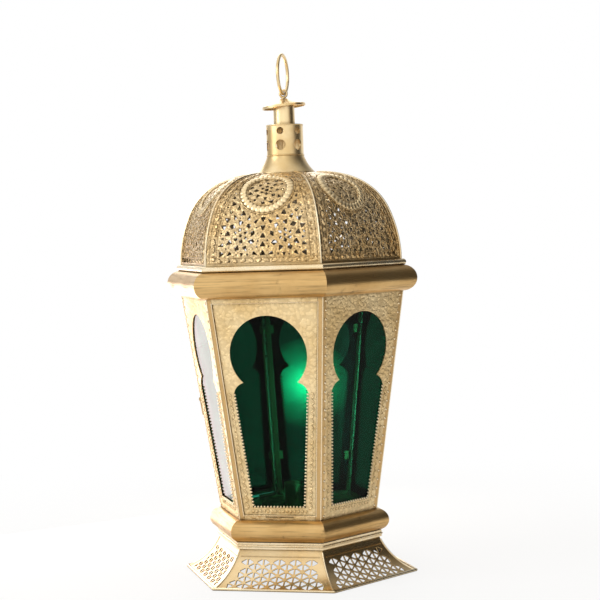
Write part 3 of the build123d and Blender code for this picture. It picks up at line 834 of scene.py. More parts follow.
class PiercingTree(ShapeTree):
    """Fills a flat outline and leaves the holes open that its loose points ask for."""

    def __init__(self) -> None:
        """Builds the tree."""
        super().__init__("piercing", {"Rounding": "Float", "Wedge Waist": "Float"})
        waist = self.given("Wedge Waist")
        inputs: Plugs = {"Width": 1.0, "Bottom Height": waist, "Top Height": 1.0 - waist}
        wedge = self.node("GeometryNodeCurvePrimitiveQuadrilateral", {"mode": "KITE"}, inputs)
        wedge = self.node("GeometryNodeTransform", None, {
            "Geometry": wedge,
            "Translation": self.vector(0.0, waist - 0.5, 0.0),
            "Rotation": (0.0, 0.0, -math.pi / 2),
        })
        disc, triangle = (
            self.node("GeometryNodeCurvePrimitiveCircle", None, {"Resolution": sides, "Radius": radius})
            for sides, radius in ((14, 0.5), (3, TRIANGLE_REACH))
        )
        punches = [self.punch(self.rounded(wedge)), self.punch(disc), self.punch(self.rounded(triangle))]
        rack = self.node("GeometryNodeJoinGeometry", None, {"Geometry": list(reversed(punches))})
        inputs = {"Mesh": self.given("Geometry"), "Selection": self.attribute("hole", "BOOLEAN")}
        turn = self.vector(0.0, 0.0, self.attribute("turn", "FLOAT"))
        holes = self.node("GeometryNodeInstanceOnPoints", None, {
            "Points": self.node("GeometryNodeMeshToPoints", None, inputs),
            "Instance": rack,
            "Pick Instance": True,
            "Instance Index": self.attribute("cut", "INT"),
            "Rotation": self.node("FunctionNodeEulerToRotation", None, {0: turn}),
            "Scale": self.attribute("size", "FLOAT_VECTOR"),
        })
        rims: Plugs = {"Geometry": [self.realized(holes), self.lines()]}
        outlines = self.node("GeometryNodeJoinGeometry", None, rims)
        self.close(self.node("GeometryNodeFillCurve", {"mode": "TRIANGLES"}, {"Curve": outlines}))

    def rounded(self, curve: Value) -> Value:
        """The outline of a punch with its corners rounded."""
        inputs: Plugs = {"Curve": curve, "Count": 3, "Radius": self.given("Rounding"), "Limit Radius": True}
        return self.node("GeometryNodeFilletCurve", {"mode": "POLY"}, inputs)

    def punch(self, curve: Value) -> Value:
        """A curve as one instance of the rack."""
        return self.node("GeometryNodeGeometryToInstance", None, {"Geometry": [curve]})


class WireTree(ShapeTree):
    """Turns paths into round wire."""

    def __init__(self) -> None:
        """Builds the tree."""
        super().__init__("raised_wire", {"Radius": "Float", "Sides": "Int"})
        inputs: Plugs = {"Resolution": self.given("Sides"), "Radius": self.given("Radius")}
        ring = self.node("GeometryNodeCurvePrimitiveCircle", None, inputs)
        inputs = {"Curve": self.lines(), "Profile Curve": ring, "Fill Caps": True}
        self.close(self.node("GeometryNodeCurveToMesh", None, inputs))


class BossTree(ShapeTree):
    """Sets small rounded bosses along paths, standing out as the paths' points say."""

    def __init__(self) -> None:
        """Builds the tree."""
        super().__init__("boss_row", {"Pitch": "Float", "Size": "Vector", "Lean": "Float"})
        inputs: Plugs = {"Curve": self.lines(), "Length": self.given("Pitch")}
        points = self.node("GeometryNodeResampleCurve", {"mode": "LENGTH"}, inputs)
        axes = {"primary_axis": "Z", "secondary_axis": "X"}
        inputs = {0: self.attribute("out", "FLOAT_VECTOR"), 1: self.node("GeometryNodeInputTangent")}
        stand = self.node("FunctionNodeAxesToRotation", axes, inputs)
        side = self.math("MODULO", self.node("GeometryNodeInputIndex"), 2.0) * 2.0 - 1.0
        inputs = {0: (0.0, 0.0, 1.0), 1: side * self.given("Lean")}
        swing = self.node("FunctionNodeAxisAngleToRotation", None, inputs)
        local = {"rotation_space": "LOCAL"}
        self.set_bosses(points, self.node("FunctionNodeRotateRotation", local, {0: stand, 1: swing}), 8, 5)


class StudTree(ShapeTree):
    """Sets one small round boss on every point."""

    def __init__(self) -> None:
        """Builds the tree."""
        super().__init__("studs", {"Size": "Vector"})
        points = self.node("GeometryNodeMeshToPoints", None, {"Mesh": self.given("Geometry")})
        inputs: Plugs = {"Vector": self.attribute("out", "FLOAT_VECTOR")}
        stand = self.node("FunctionNodeAlignRotationToVector", {"axis": "Z"}, inputs)
        self.set_bosses(points, stand, 6, 4)


@dataclass
class Path:
    """A line on the lantern: its points, the way out at each, and whether it closes."""

    points: list[Vector]
    outs: list[Vector]
    closed: bool = False

    @classmethod
    def on(cls, sheet: Sheet, places: Sequence[Point], lift: float, closed: bool = False) -> "Path":
        """A path through (across, along) places on a sheet, lifted off it."""
        points = [sheet.place(across, along, -lift) for across, along in places]
        return cls(points, [sheet.out(across, along) for across, along in places], closed)

    @classmethod
    def on_all(
        cls,
        sheets: Sequence[Sheet],
        lines: Sequence[Sequence[Point]],
        lift: float = 0.0,
        closed: bool = False,
    ) -> list["Path"]:
        """The same paths on several sheets."""
        return [cls.on(sheet, places, lift, closed) for sheet in sheets for places in lines]


def level_ring(apothem: float, height: float) -> Path:
    """A closed path round the six corners of the plan.

    Args:
        apothem: Distance of its sides from the axis.
        height: Height above the floor.

    Returns:
        The path.
    """
    corner = Vector((apothem * MITRE, -apothem, height))
    turns = [Matrix.Rotation(face * FACE_TURN, 3, "Z") for face in range(FACES)]
    return Path([turn @ corner for turn in turns], [Vector((0, 0, 1))] * FACES, True)


def path_mesh(name: str, paths: Sequence[Path]) -> bpy.types.Mesh:
    """A mesh of edges along paths, with the way out of the surface at each point.

    Args:
        name: Name of the mesh.
        paths: The paths.

    Returns:
        The mesh.
    """
    points: list[Vector] = []
    outs: list[float] = []
    edges: list[tuple[int, int]] = []
    for path in paths:
        first = len(points)
        count = len(path.points)
        points.extend(path.points)
        outs.extend(value for out in path.outs for value in out)
        edges.extend((first + n, first + n + 1) for n in range(count - 1))
        if path.closed:
            edges.append((first + count - 1, first))
    mesh = bpy.data.meshes.new(name)
    mesh.from_pydata(points, edges, [])
    mesh.attributes.new("out", "FLOAT_VECTOR", "POINT").data.foreach_set("vector", outs)
    return mesh


@dataclass(frozen=True)
class Ornament:
    """Sizes of a kind of raised ornament, named as the inputs of its tree."""

    def sizes(self) -> dict[str, Any]:
        """The sizes by the names of the tree's inputs."""
        return {label.title(): size for label, size in asdict(self).items()}


@dataclass(frozen=True)
class Wire(Ornament):
    """Round wire along paths."""

    radius: float
    sides: int = 8


@dataclass(frozen=True)
class BossRow(Ornament):
    """Rounded bosses along paths, turned against the path by their lean to either side in turn.

    Their size is the length along the path, the width across it and the height of a whole boss.
    """

    pitch: float
    size: Triple
    lean: float = 0.0


@dataclass(frozen=True)
class Studs(Ornament):
    """A round boss on every point of some paths."""

    size: Triple


class Goldsmith:
    """Lays raised ornament and makes pierced sheets with shared Geometry Nodes trees."""

    wedge_waist = 0.60
    punch_rounding = 0.12

    def __init__(self, workshop: Workshop) -> None:
        """Builds the trees.

        Args:
            workshop: Source of the materials.
        """
        self.workshop = workshop
        self.piercing = PiercingTree()
        self.trees: dict[type, ShapeTree] = {Wire: WireTree(), BossRow: BossTree(), Studs: StudTree()}

    def lay(
        self,
        name: str,
        ornament: Ornament,
        paths: Sequence[Path],
        look: Look,
        body: str = "lantern",
    ) -> None:
        """Lays ornament along paths as one piece.

        Args:
            name: Name of the piece.
            ornament: Its kind and sizes.
            paths: Lines that it follows.
            look: Its finish.
            body: Body that it moves with.
        """
        values = {**ornament.sizes(), "Material": self.workshop.materials[look]}
        mesh = self.trees[type(ornament)].settle(path_mesh(name, paths), values)
        if isinstance(ornament, Wire):
            smooth_mesh(mesh)
        self.workshop.hand_over(new_piece(name, mesh), look, body)

    def pierced_shell(
        self,
        name: str,
        outline: Sequence[Point],
        holes: Sequence[Hole],
        folds: Sequence[float],
        sheet: float,
        burr: float,
    ) -> "Shell":
        """Makes a pierced flat sheet, creased where it will be bent.

        Args:
            name: Name for the flat mesh.
            outline: Outline of the sheet.
            holes: Holes to leave open.
            folds: Lengths along the sheet where it gets a crease.
            sheet: Thickness.
            burr: Width of the rounded-over rim of the holes.

        Returns:
            The closed shell in sheet coordinates.
        """
        count = len(outline)
        flat = bpy.data.meshes.new(name)
        flat.from_pydata(
            [(x, y, 0.0) for x, y in outline] + [(hole.across, hole.along, 0.0) for hole in holes],
            [(n, (n + 1) % count) for n in range(count)],
            [],
        )
        columns = {
            "hole": ("BOOLEAN", "value", [False] * count + [True] * len(holes)),
            "turn": ("FLOAT", "value", [0.0] * count + [hole.turn for hole in holes]),
            "cut": ("INT", "value", [0] * count + [hole.cut.value for hole in holes]),
            "size": ("FLOAT_VECTOR", "vector", [0.0] * (3 * count) + [
                value
                for hole in holes
                for value in (hole.length + 2 * burr, hole.width + 2 * burr, 1.0)
            ]),
        }
        for label, (kind, field_name, values) in columns.items():
            flat.attributes.new(label, kind, "POINT").data.foreach_set(field_name, values)
        pierced = self.piercing.settle(flat, {
            "Rounding": self.punch_rounding,
            "Wedge Waist": self.wedge_waist,
            "Material": self.workshop.materials[Look.PIERCED],
        })
        return Shell.from_flat(pierced, folds, sheet, burr)


@dataclass
class Shell:
    """A closed pierced sheet: points as (across, along, depth) and faces."""

    points: list[tuple[float, float, float]]
    faces: list[tuple[int, ...]]

    @classmethod
    def from_flat(
        cls,
        flat: bpy.types.Mesh,
        folds: Sequence[float],
        sheet: float,
        burr: float,
    ) -> "Shell":
        """Thickens a flat pierced mesh and eases the rims of its holes.

        Args:
            flat: Flat mesh with open holes.
            folds: Lengths along the sheet where it is creased.
            sheet: Thickness.
            burr: Width and depth of the eased rims.

        Returns:
            The shell.
        """
        work = bmesh.new()
        work.from_mesh(flat)
        bmesh.ops.remove_doubles(work, verts=work.verts, dist=1e-6)
        for fold in folds:
            everything = work.verts[:] + work.edges[:] + work.faces[:]
            bmesh.ops.bisect_plane(work, geom=everything, dist=1e-6, plane_co=(0, fold, 0),
                                   plane_no=(0, 1, 0))
        work.verts.index_update()
        shell = cls([], [])
        skin = [(vert.co.x, vert.co.y) for vert in work.verts]
        shell.points.extend((x, y, 0.0) for x, y in skin)
        shell.points.extend((x, y, sheet) for x, y in skin)
        under = len(skin)
        for face in work.faces:
            loop = tuple(vert.index for vert in face.verts)
            shell.faces.append(loop)
            shell.faces.append(tuple(index + under for index in reversed(loop)))
        rims = [edge for edge in work.edges if len(edge.link_faces) == 1]
        eased = shell.add_rims(cls.hole_pulls(rims), skin, sheet, burr)
        for edge in rims:
            first, last = (vert.index for vert in edge.verts)
            stages = [(first, last)]
            if first in eased:
                stages += [(eased[first], eased[last]), (eased[first] + 1, eased[last] + 1)]
            stages.append((first + under, last + under))
            for (a, b), (c, d) in zip(stages, stages[1:]):
                shell.faces.append((a, b, d, c))
        work.free()
        return shell

    @staticmethod
    def hole_pulls(rims: Sequence[bmesh.types.BMEdge]) -> dict[int, Vector]:
        """The way into the hole at each point on a hole's rim.

        Args:
            rims: All open edges of the flat sheet.

        Returns:
            A direction for each point's number, without the points of the outer outline.
        """
        links: dict[int, list[bmesh.types.BMEdge]] = {}
        for edge in rims:
            for vert in edge.verts:
                links.setdefault(vert.index, []).append(edge)
        loops: list[set[int]] = []
        waiting = set(links)
        while waiting:
            reach = [waiting.pop()]
            loop = set(reach)
            while reach:
                for edge in links[reach.pop()]:
                    fresh = {vert.index for vert in edge.verts} - loop
                    loop |= fresh
                    reach.extend(fresh)
            waiting -= loop
            loops.append(loop)
        places = {vert.index: vert.co for edge in rims for vert in edge.verts}
        outer = max(loops, key=lambda loop: max(places[n].x for n in loop) - min(places[n].x for n in loop))
        pulls: dict[int, Vector] = {}
        for index in set(links) - outer:
            pull = Vector((0.0, 0.0, 0.0))
            for edge in links[index]:
                first, last = (vert.co for vert in edge.verts)
                side = Vector((last.y - first.y, first.x - last.x, 0.0)).normalized()
                inward = (first + last) / 2 - edge.link_faces[0].calc_center_median()
                pull += side if side.dot(inward) > 0 else -side
            pulls[index] = pull.normalized()
        return pulls

    def add_rims(
        self,
        pulls: dict[int, Vector],
        skin: Sequence[Point],
        sheet: float,
        burr: float,
    ) -> dict[int, int]:
        """Adds the points of the eased rims.

        Args:
            pulls: The way into the hole at each rim point.
            skin: Places of the sheet's points.
            sheet: Thickness.
            burr: Width and depth of the eased rims.

        Returns:
            For each rim point, the number of its eased point; the one below it comes next.
        """
        eased: dict[int, int] = {}
        for index, pull in pulls.items():
            x = skin[index][0] + pull.x * burr
            y = skin[index][1] + pull.y * burr
            eased[index] = len(self.points)
            self.points.extend(((x, y, burr), (x, y, sheet)))
        return eased

    def bent(self, name: str, sheet: Sheet) -> bpy.types.Mesh:
        """The shell laid on a face of the lantern.

        Args:
            name: Name of the mesh.
            sheet: Surface that it follows.

        Returns:
            A closed mesh with its faces outwards.
        """
        mesh = bpy.data.meshes.new(name)
        mesh.from_pydata([sheet.place(*point) for point in self.points], [], self.faces)
        deepest = max(depth for across, along, depth in self.points)
        # Darkness from 0 on the outside to 1 on the inner face: soot and painted shade for the closed-in
        # inside.
        soot_and_shade = [depth / deepest for across, along, depth in self.points]
        mesh.attributes.new("soot_and_shade", "FLOAT", "POINT").data.foreach_set("value", soot_and_shade)
        work = bmesh.new()
        work.from_mesh(mesh)
        bmesh.ops.recalc_face_normals(work, faces=work.faces[:])
        work.to_mesh(mesh)
        work.free()
        smooth_mesh(mesh)
        return mesh


def steps(start: float, end: float, pitch: float) -> list[float]:
    """Evenly spaced values from start to end, about a pitch apart."""
    count = max(1, round(abs(end - start) / pitch))
    return [start + (end - start) * n / count for n in range(count + 1)]


def compass(count: int) -> list[Point]:
    """Evenly spaced points of a circle of radius 1."""
    turns = [2 * math.pi * n / count for n in range(count)]
    return [(math.cos(turn), math.sin(turn)) for turn in turns]


@dataclass
class PiercedDome:
    """The dome: six pierced panels with borders, a medallion each, and soldered ridges."""

    smith: Goldsmith
    side_radius: float = 0.130
    side_turn: float = math.radians(21)
    shoulder_radius: float = 0.055
    shoulder_turn: float = math.radians(51)
    crown_tuck: float = 0.00115
    crown_bore: float = 0.012
    sheet: float = 0.001
    burr: float = 0.00022
    fold_pitch: float = 0.0026
    border_outer: float = 0.0034
    border_inner: float = 0.0098
    border_end: float = 0.112
    border_drop: float = 0.75
    border_lift: float = 0.00005
    border_wire: Wire = Wire(0.00050)
    border_leaves: BossRow = BossRow(0.0074, (0.0068, 0.0042, 0.0010), math.radians(24))
    field_margin: float = 0.0122
    field_foot: float = 0.0090
    field_head: float = 0.004
    medallion_radius: float = 0.0172
    medallion_band: float = 0.0084
    medallion_eye: Point = (0.0036, 0.0034)
    medallion_rings: tuple[PetalRing, ...] = (
        PetalRing(0.0026, 0.0070, 0.0040, 6, math.pi / 2),
        PetalRing(0.0075, 0.0121, 0.0054, 8),
        PetalRing(0.0124, 0.0172, 0.0062, 11),
    )
    ring_wire: Wire = Wire(0.00060)
    ring_inset: float = 0.0004
    ring_lift: float = 0.0002
    gadroons: BossRow = BossRow(0.0044, (0.0070, 0.0082, 0.0026))
    gadroon_shift: float = 0.0002
    rosette_rise: float = 0.0270
    rosette_spread: float = 0.0205
    rosette_eye: Point = (0.0028, 0.0026)
    rosette_rings: tuple[PetalRing, ...] = (
        PetalRing(0.0026, 0.0080, 0.0044, 6, math.pi / 2, 0.45),
        PetalRing(0.0088, 0.0152, 0.0062, 9, math.pi / 2, -0.50),
    )
    bar: float = 0.0009
    seed: int = 7
    turn_play: float = 0.55
    length_play: Point = (0.85, 1.10)
    width_play: Point = (0.65, 1.05)
    filler_sizes: tuple[float, ...] = (0.0060, 0.0050, 0.0041, 0.0033, 0.0026)
    filler_shares: Point = (0.6, 0.9)
    filler_play: float = 0.5
    filler_step: float = 0.0011
    filler_gap: float = 0.0012
    seed_step: float = 0.0007
    seed_size: float = 0.0013
    seed_height: float = 0.0010
    ridge_foot: float = 0.0005
    ridge_wire: Wire = Wire(0.0010)

    def __post_init__(self) -> None:
        """Works out the section from the frame."""
        low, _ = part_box("dome_panel_1")
        crown_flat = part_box("neck")[1].x - self.crown_tuck
        crown_turn = math.pi / 2 - self.side_turn - self.shoulder_turn
        shoulder_end = -low.y - self.side_radius * (1 - math.cos(self.side_turn))
        shoulder_end -= self.shoulder_radius * (math.cos(self.side_turn) - math.sin(crown_turn))
        crown_radius = (shoulder_end - crown_flat) / math.sin(crown_turn)
        self.section = ArcSection(-low.y, low.z, 0.0, (
            (self.side_radius, self.side_turn),
            (self.shoulder_radius, self.shoulder_turn),
            (crown_radius, crown_turn),
        ))
        self.length = self.section.bent_length + crown_flat - self.crown_bore
        side = self.side_radius * self.side_turn
        self.medallion = (0.0, side + self.shoulder_radius * self.shoulder_turn / 2)
        self.rosette = (self.rosette_spread, self.rosette_rise)
        self.medallion_reach = self.medallion_radius + self.medallion_band
        self.field_top = self.medallion[1] + self.field_head
        self.front = BentFace(self.section, 0)

    def build(self) -> None:
        """Makes all pieces of the dome."""
        holes = self.holes()
        folds = steps(0.0, self.section.bent_length, self.fold_pitch)
        shell = self.smith.pierced_shell("dome_flat", self.outline(folds), holes, folds[1:],
                                         self.sheet, self.burr)
        faces = [BentFace(self.section, face) for face in range(FACES)]
        for face in faces:
            name = f"pierced_dome_panel_{face.face + 1}"
            piece = new_piece(name, shell.bent(name, face))
            self.smith.workshop.hand_over(piece, Look.PIERCED, stands_for=[f"dome_panel_{face.face + 1}"])
        borders = [self.border(inset) for inset in (self.border_outer, self.border_inner)]
        leaves = self.border((self.border_outer + self.border_inner) / 2)
        dots = Studs((self.seed_size, self.seed_size, self.seed_height))
        rings = [self.circle(self.medallion_radius + self.ring_inset), self.circle(self.medallion_reach)]
        gadroons = self.circle(self.medallion_radius + self.medallion_band / 2 + self.gadroon_shift)
        heights = steps(self.ridge_foot, self.section.bent_length, self.fold_pitch)
        ridge = [(self.front.half_width(along), along) for along in heights]
        for name, ornament, look, lines, lift, closed in (
            ("dome_border_lines", self.border_wire, Look.PIERCED, borders, self.border_lift, False),
            ("dome_border_leaves", self.border_leaves, Look.PIERCED, [leaves], 0.0, False),
            ("dome_field_dots", dots, Look.PIERCED, [self.seeds(holes)], 0.0, False),
            ("medallion_rings", self.ring_wire, Look.PIERCED, rings, self.ring_lift, True),
            ("medallion_gadroons", self.gadroons, Look.RAISED, [gadroons], 0.0, True),
            ("dome_ridge_seams", self.ridge_wire, Look.TRIM, [ridge], 0.0, False),
        ):
            self.smith.lay(name, ornament, Path.on_all(faces, lines, lift, closed), look)

    def outline(self, folds: Sequence[float]) -> list[Point]:
        """Outline of a flat panel with a point on every crease."""
        right = [(self.front.half_width(length), length) for length in [*folds, self.length]]
        return right + [(-across, length) for across, length in reversed(right)]

    def border(self, inset: float) -> list[Point]:
        """A line up both sides and along the foot of a panel.

        Args:
            inset: Distance from the panel's edges.

        Returns:
            Places along the line.
        """
        foot_rise = inset * self.border_drop
        along = steps(self.border_end, foot_rise, self.fold_pitch)
        left = [(inset - self.front.half_width(length), length) for length in along]
        foot = steps(left[-1][0], -left[-1][0], self.fold_pitch)[1:-1]
        right = [(-across, length) for across, length in reversed(left)]
        return left + [(across, foot_rise) for across in foot] + right

    def circle(self, radius: float) -> list[Point]:
        """A circle round the medallion's middle."""
        across, along = self.medallion
        return [(across + radius * x, along + radius * y) for x, y in compass(48)]

    def holes(self) -> list[Hole]:
        """All holes of one panel."""
        draw = random.Random(self.seed)
        middle = self.hand_cut(self.medallion, self.medallion_eye, self.medallion_rings, draw)
        side = self.hand_cut(self.rosette, self.rosette_eye, self.rosette_rings, draw)
        holes = middle + side + [hole.mirrored() for hole in side]
        return holes + self.fillers(holes)

    def hand_cut(
        self,
        centre: Point,
        eye: Point,
        rings: Sequence[PetalRing],
        draw: random.Random,
    ) -> list[Hole]:
        """Rings of holes round an eye, each hole a little off its turn and size and clear of the others.

        Args:
            centre: Place of the eye.
            eye: Length and width of the round hole in the middle.
            rings: The even rings.
            draw: Source of the differences.

        Returns:
            The eye and the holes round it.
        """
        placed = [Hole(*centre, 0.0, *eye, Cut.ROUND)]
        for hole in (hole for ring in rings for hole in ring.holes(centre)):
            turn = hole.turn + draw.uniform(-self.turn_play, self.turn_play)
            length = hole.length * draw.uniform(*self.length_play)
            width = hole.width * draw.uniform(*self.width_play)
            cut = draw.choice((Cut.WEDGE, Cut.TRIANGLE))
            loose = Hole(hole.across, hole.along, turn, length, width, cut)
            while not loose.clear_of(placed, self.bar):
                loose = loose.shrunk(0.95)
            placed.append(loose)
        return placed

    def fillers(self, holes: Sequence[Hole]) -> list[Hole]:
        """Triangular holes in what the rosettes leave free.

        Args:
            holes: Holes that are there already.

        Returns:
            Holes that mirror each other about the middle of the panel.
        """
        draw = random.Random(self.seed)
        found: list[Hole] = []
        ring = self.medallion_reach + self.filler_gap
        for size in self.filler_sizes:
            for along in steps(self.field_foot + size / 3, self.field_top, self.filler_step):
                across_end = self.front.half_width(along) - self.field_margin - size / 3
                for across in steps(0.0, across_end, self.filler_step):
                    if 0 < across < size or math.dist((across, along), self.medallion) < ring + size / 2:
                        continue
                    turn = math.atan2(along - self.rosette_rise, across - self.rosette_spread)
                    turn += draw.uniform(-self.filler_play, self.filler_play)
                    if across == 0:
                        turn = math.copysign(math.pi / 2, self.rosette_rise - along)
                    slim = draw.choice(self.filler_shares) if across else self.filler_shares[1]
                    hole = Hole(across, along, turn, size, size * slim, Cut.TRIANGLE)
                    if hole.clear_of([*holes, *found], self.bar):
                        found.append(hole)
                        if across:
                            found.append(hole.mirrored())
        return found

    def seeds(self, holes: Sequence[Hole]) -> list[Point]:
        """Places for raised dots on the bars between the holes.

        Args:
            holes: Holes of the panel.

        Returns:
            The places.
        """
        found: list[Hole] = []
        for along in steps(self.field_foot, self.field_top, self.seed_step):
            end = self.front.half_width(along) - self.field_margin
            for across in steps(-end, end, self.seed_step):
                dot = Hole(across, along, 0.0, self.seed_size, self.seed_size, Cut.ROUND)
                if math.dist((across, along), self.medallion) < self.medallion_reach:
                    continue
                if dot.clear_of(holes, self.burr) and dot.clear_of(found, self.seed_size):
                    found.append(dot)
        return [(dot.across, dot.along) for dot in found]


@dataclass
class PiercedFoot:
    """The flared foot: six pierced skirt panels, a rolled rim and soldered corners."""

    smith: Goldsmith
    hollow: float = 0.0044
    lip: float = 0.007
    sheet: float = 0.001
    burr: float = 0.00022
    fold_pitch: float = 0.0026
    wheel_pitch: float = 0.0150
    wheel_bar: float = 0.0012
    wheel_foot: float = 0.0112
    wheel_rows: int = 4
    wheel_columns: int = 6
    field_low: float = 0.0050
    field_high: float = 0.0345
    field_margin: float = 0.0092
    rim_radius: float = 0.0012
    rim_tuck: float = 0.6
    seam_wire: Wire = Wire(0.0009)
    seam_depth: float = 0.0002
    line_wire: Wire = Wire(0.00040)
    line_lift: float = 0.00005
    line_step: float = 0.004
    line_margin: float = 0.0035
    line_drop: float = 0.0022
    line_rise: float = 0.0036

    def __post_init__(self) -> None:
        """Works out the section from the frame."""
        low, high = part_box("skirt_panel_1")
        top = [v.co for v in frame["nodes"]["skirt_panel_1"].data.vertices if high.z - v.co.z < 1e-5]
        run = min(co.y for co in top) - low.y
        chord = math.hypot(run, high.z)
        radius = (chord**2 / 4 + self.hollow**2) / (2 * self.hollow)
        half_turn = math.asin(chord / 2 / radius)
        lean = math.atan2(run, high.z) + half_turn
        self.section = ArcSection(-low.y, low.z, lean, ((-radius, -2 * half_turn),))
        self.front = BentFace(self.section, 0)

    def build(self) -> None:
        """Makes all pieces of the foot."""
        folds = steps(0.0, self.section.bent_length, self.fold_pitch)
        right = [(self.front.half_width(along), along) for along in folds]
        outline = right + [(-across, along) for across, along in reversed(right)]
        shell = self.smith.pierced_shell("skirt_flat", outline, self.holes(), folds[1:-1],
                                         self.sheet, self.burr)
        faces = [BentFace(self.section, face) for face in range(FACES)]
        for face in faces:
            name = f"pierced_skirt_panel_{face.face + 1}"
            piece = new_piece(name, self.with_lip(shell, name, face))
            self.smith.workshop.hand_over(piece, Look.PIERCED, stands_for=[f"skirt_panel_{face.face + 1}"])
        apothem = self.section.apothem - self.rim_radius * self.rim_tuck
        rim = level_ring(apothem, self.rim_radius)
        self.smith.lay("rolled_foot_rim", Wire(self.rim_radius), [rim], Look.TRIM)
        seams = Path.on_all(faces, [right[1:-1]], -self.seam_depth)
        self.smith.lay("skirt_corner_seams", self.seam_wire, seams, Look.TRIM)
        heights = (self.field_low - self.line_drop, self.field_high + self.line_rise)
        lines = Path.on_all(faces, [self.level_line(along) for along in heights], self.line_lift)
        self.smith.lay("skirt_field_lines", self.line_wire, lines, Look.PIERCED)

    def level_line(self, along: float) -> list[Point]:
        """A level line across a skirt panel."""
        end = self.front.half_width(along) - self.line_margin
        return [(across, along) for across in steps(-end, end, self.line_step)]

    def with_lip(self, shell: Shell, name: str, face: BentFace) -> bpy.types.Mesh:
        """A skirt panel with the lip that is folded in along the floor.

        Args:
            shell: Pierced panel.
            name: Name of the mesh.
            face: Surface of the panel.

        Returns:
            The mesh of both.
        """
        mesh = shell.bent(name, face)
        work = bmesh.new()
        work.from_mesh(mesh)
        outer = self.section.apothem - self.sheet
        inner = self.section.apothem - self.lip
        corners = [
            work.verts.new(face.turned(Vector((side * apothem * MITRE, -apothem, height))))
            for height in (0.0, self.sheet)
            for side, apothem in ((-1, outer), (1, outer), (1, inner), (-1, inner))
        ]
        for loop in ((3, 2, 1, 0), (4, 5, 6, 7), (0, 1, 5, 4), (1, 2, 6, 5), (2, 3, 7, 6), (3, 0, 4, 7)):
            work.faces.new([corners[n] for n in loop])
        work.to_mesh(mesh)
        work.free()
        smooth_mesh(mesh)
        return mesh

    def holes(self) -> list[Hole]:
        """Six three-cornered holes round each point of a hexagonal grid, with thin bars between."""
        pitch, bar = self.wheel_pitch, self.wheel_bar
        corner_reach = ((pitch - bar) / 2 - bar) * 2 / 3
        size = corner_reach / TRIANGLE_REACH
        holes = [
            Hole(
                (column + 0.5 * (row % 2)) * pitch + (bar + corner_reach) * math.cos(spoke),
                self.wheel_foot + row * pitch * math.sqrt(3) / 2 + (bar + corner_reach) * math.sin(spoke),
                spoke + math.pi,
                size,
                size,
                Cut.TRIANGLE,
            )
            for row in range(self.wheel_rows)
            for column in range(-self.wheel_columns, self.wheel_columns + 1)
            for spoke in (n * FACE_TURN for n in range(FACES))
        ]
        return [hole for hole in holes if self.in_field(hole)]

    def in_field(self, hole: Hole) -> bool:
        """Whether a hole lies in the pierced field of a skirt panel."""
        side = self.front.half_width(hole.along) - self.field_margin
        return self.field_low <= hole.along <= self.field_high and abs(hole.across) <= side


class Panel(Enum):
    """Kinds of body panel."""

    WING = "wing"
    INSET = "inset"
    DOOR = "door"


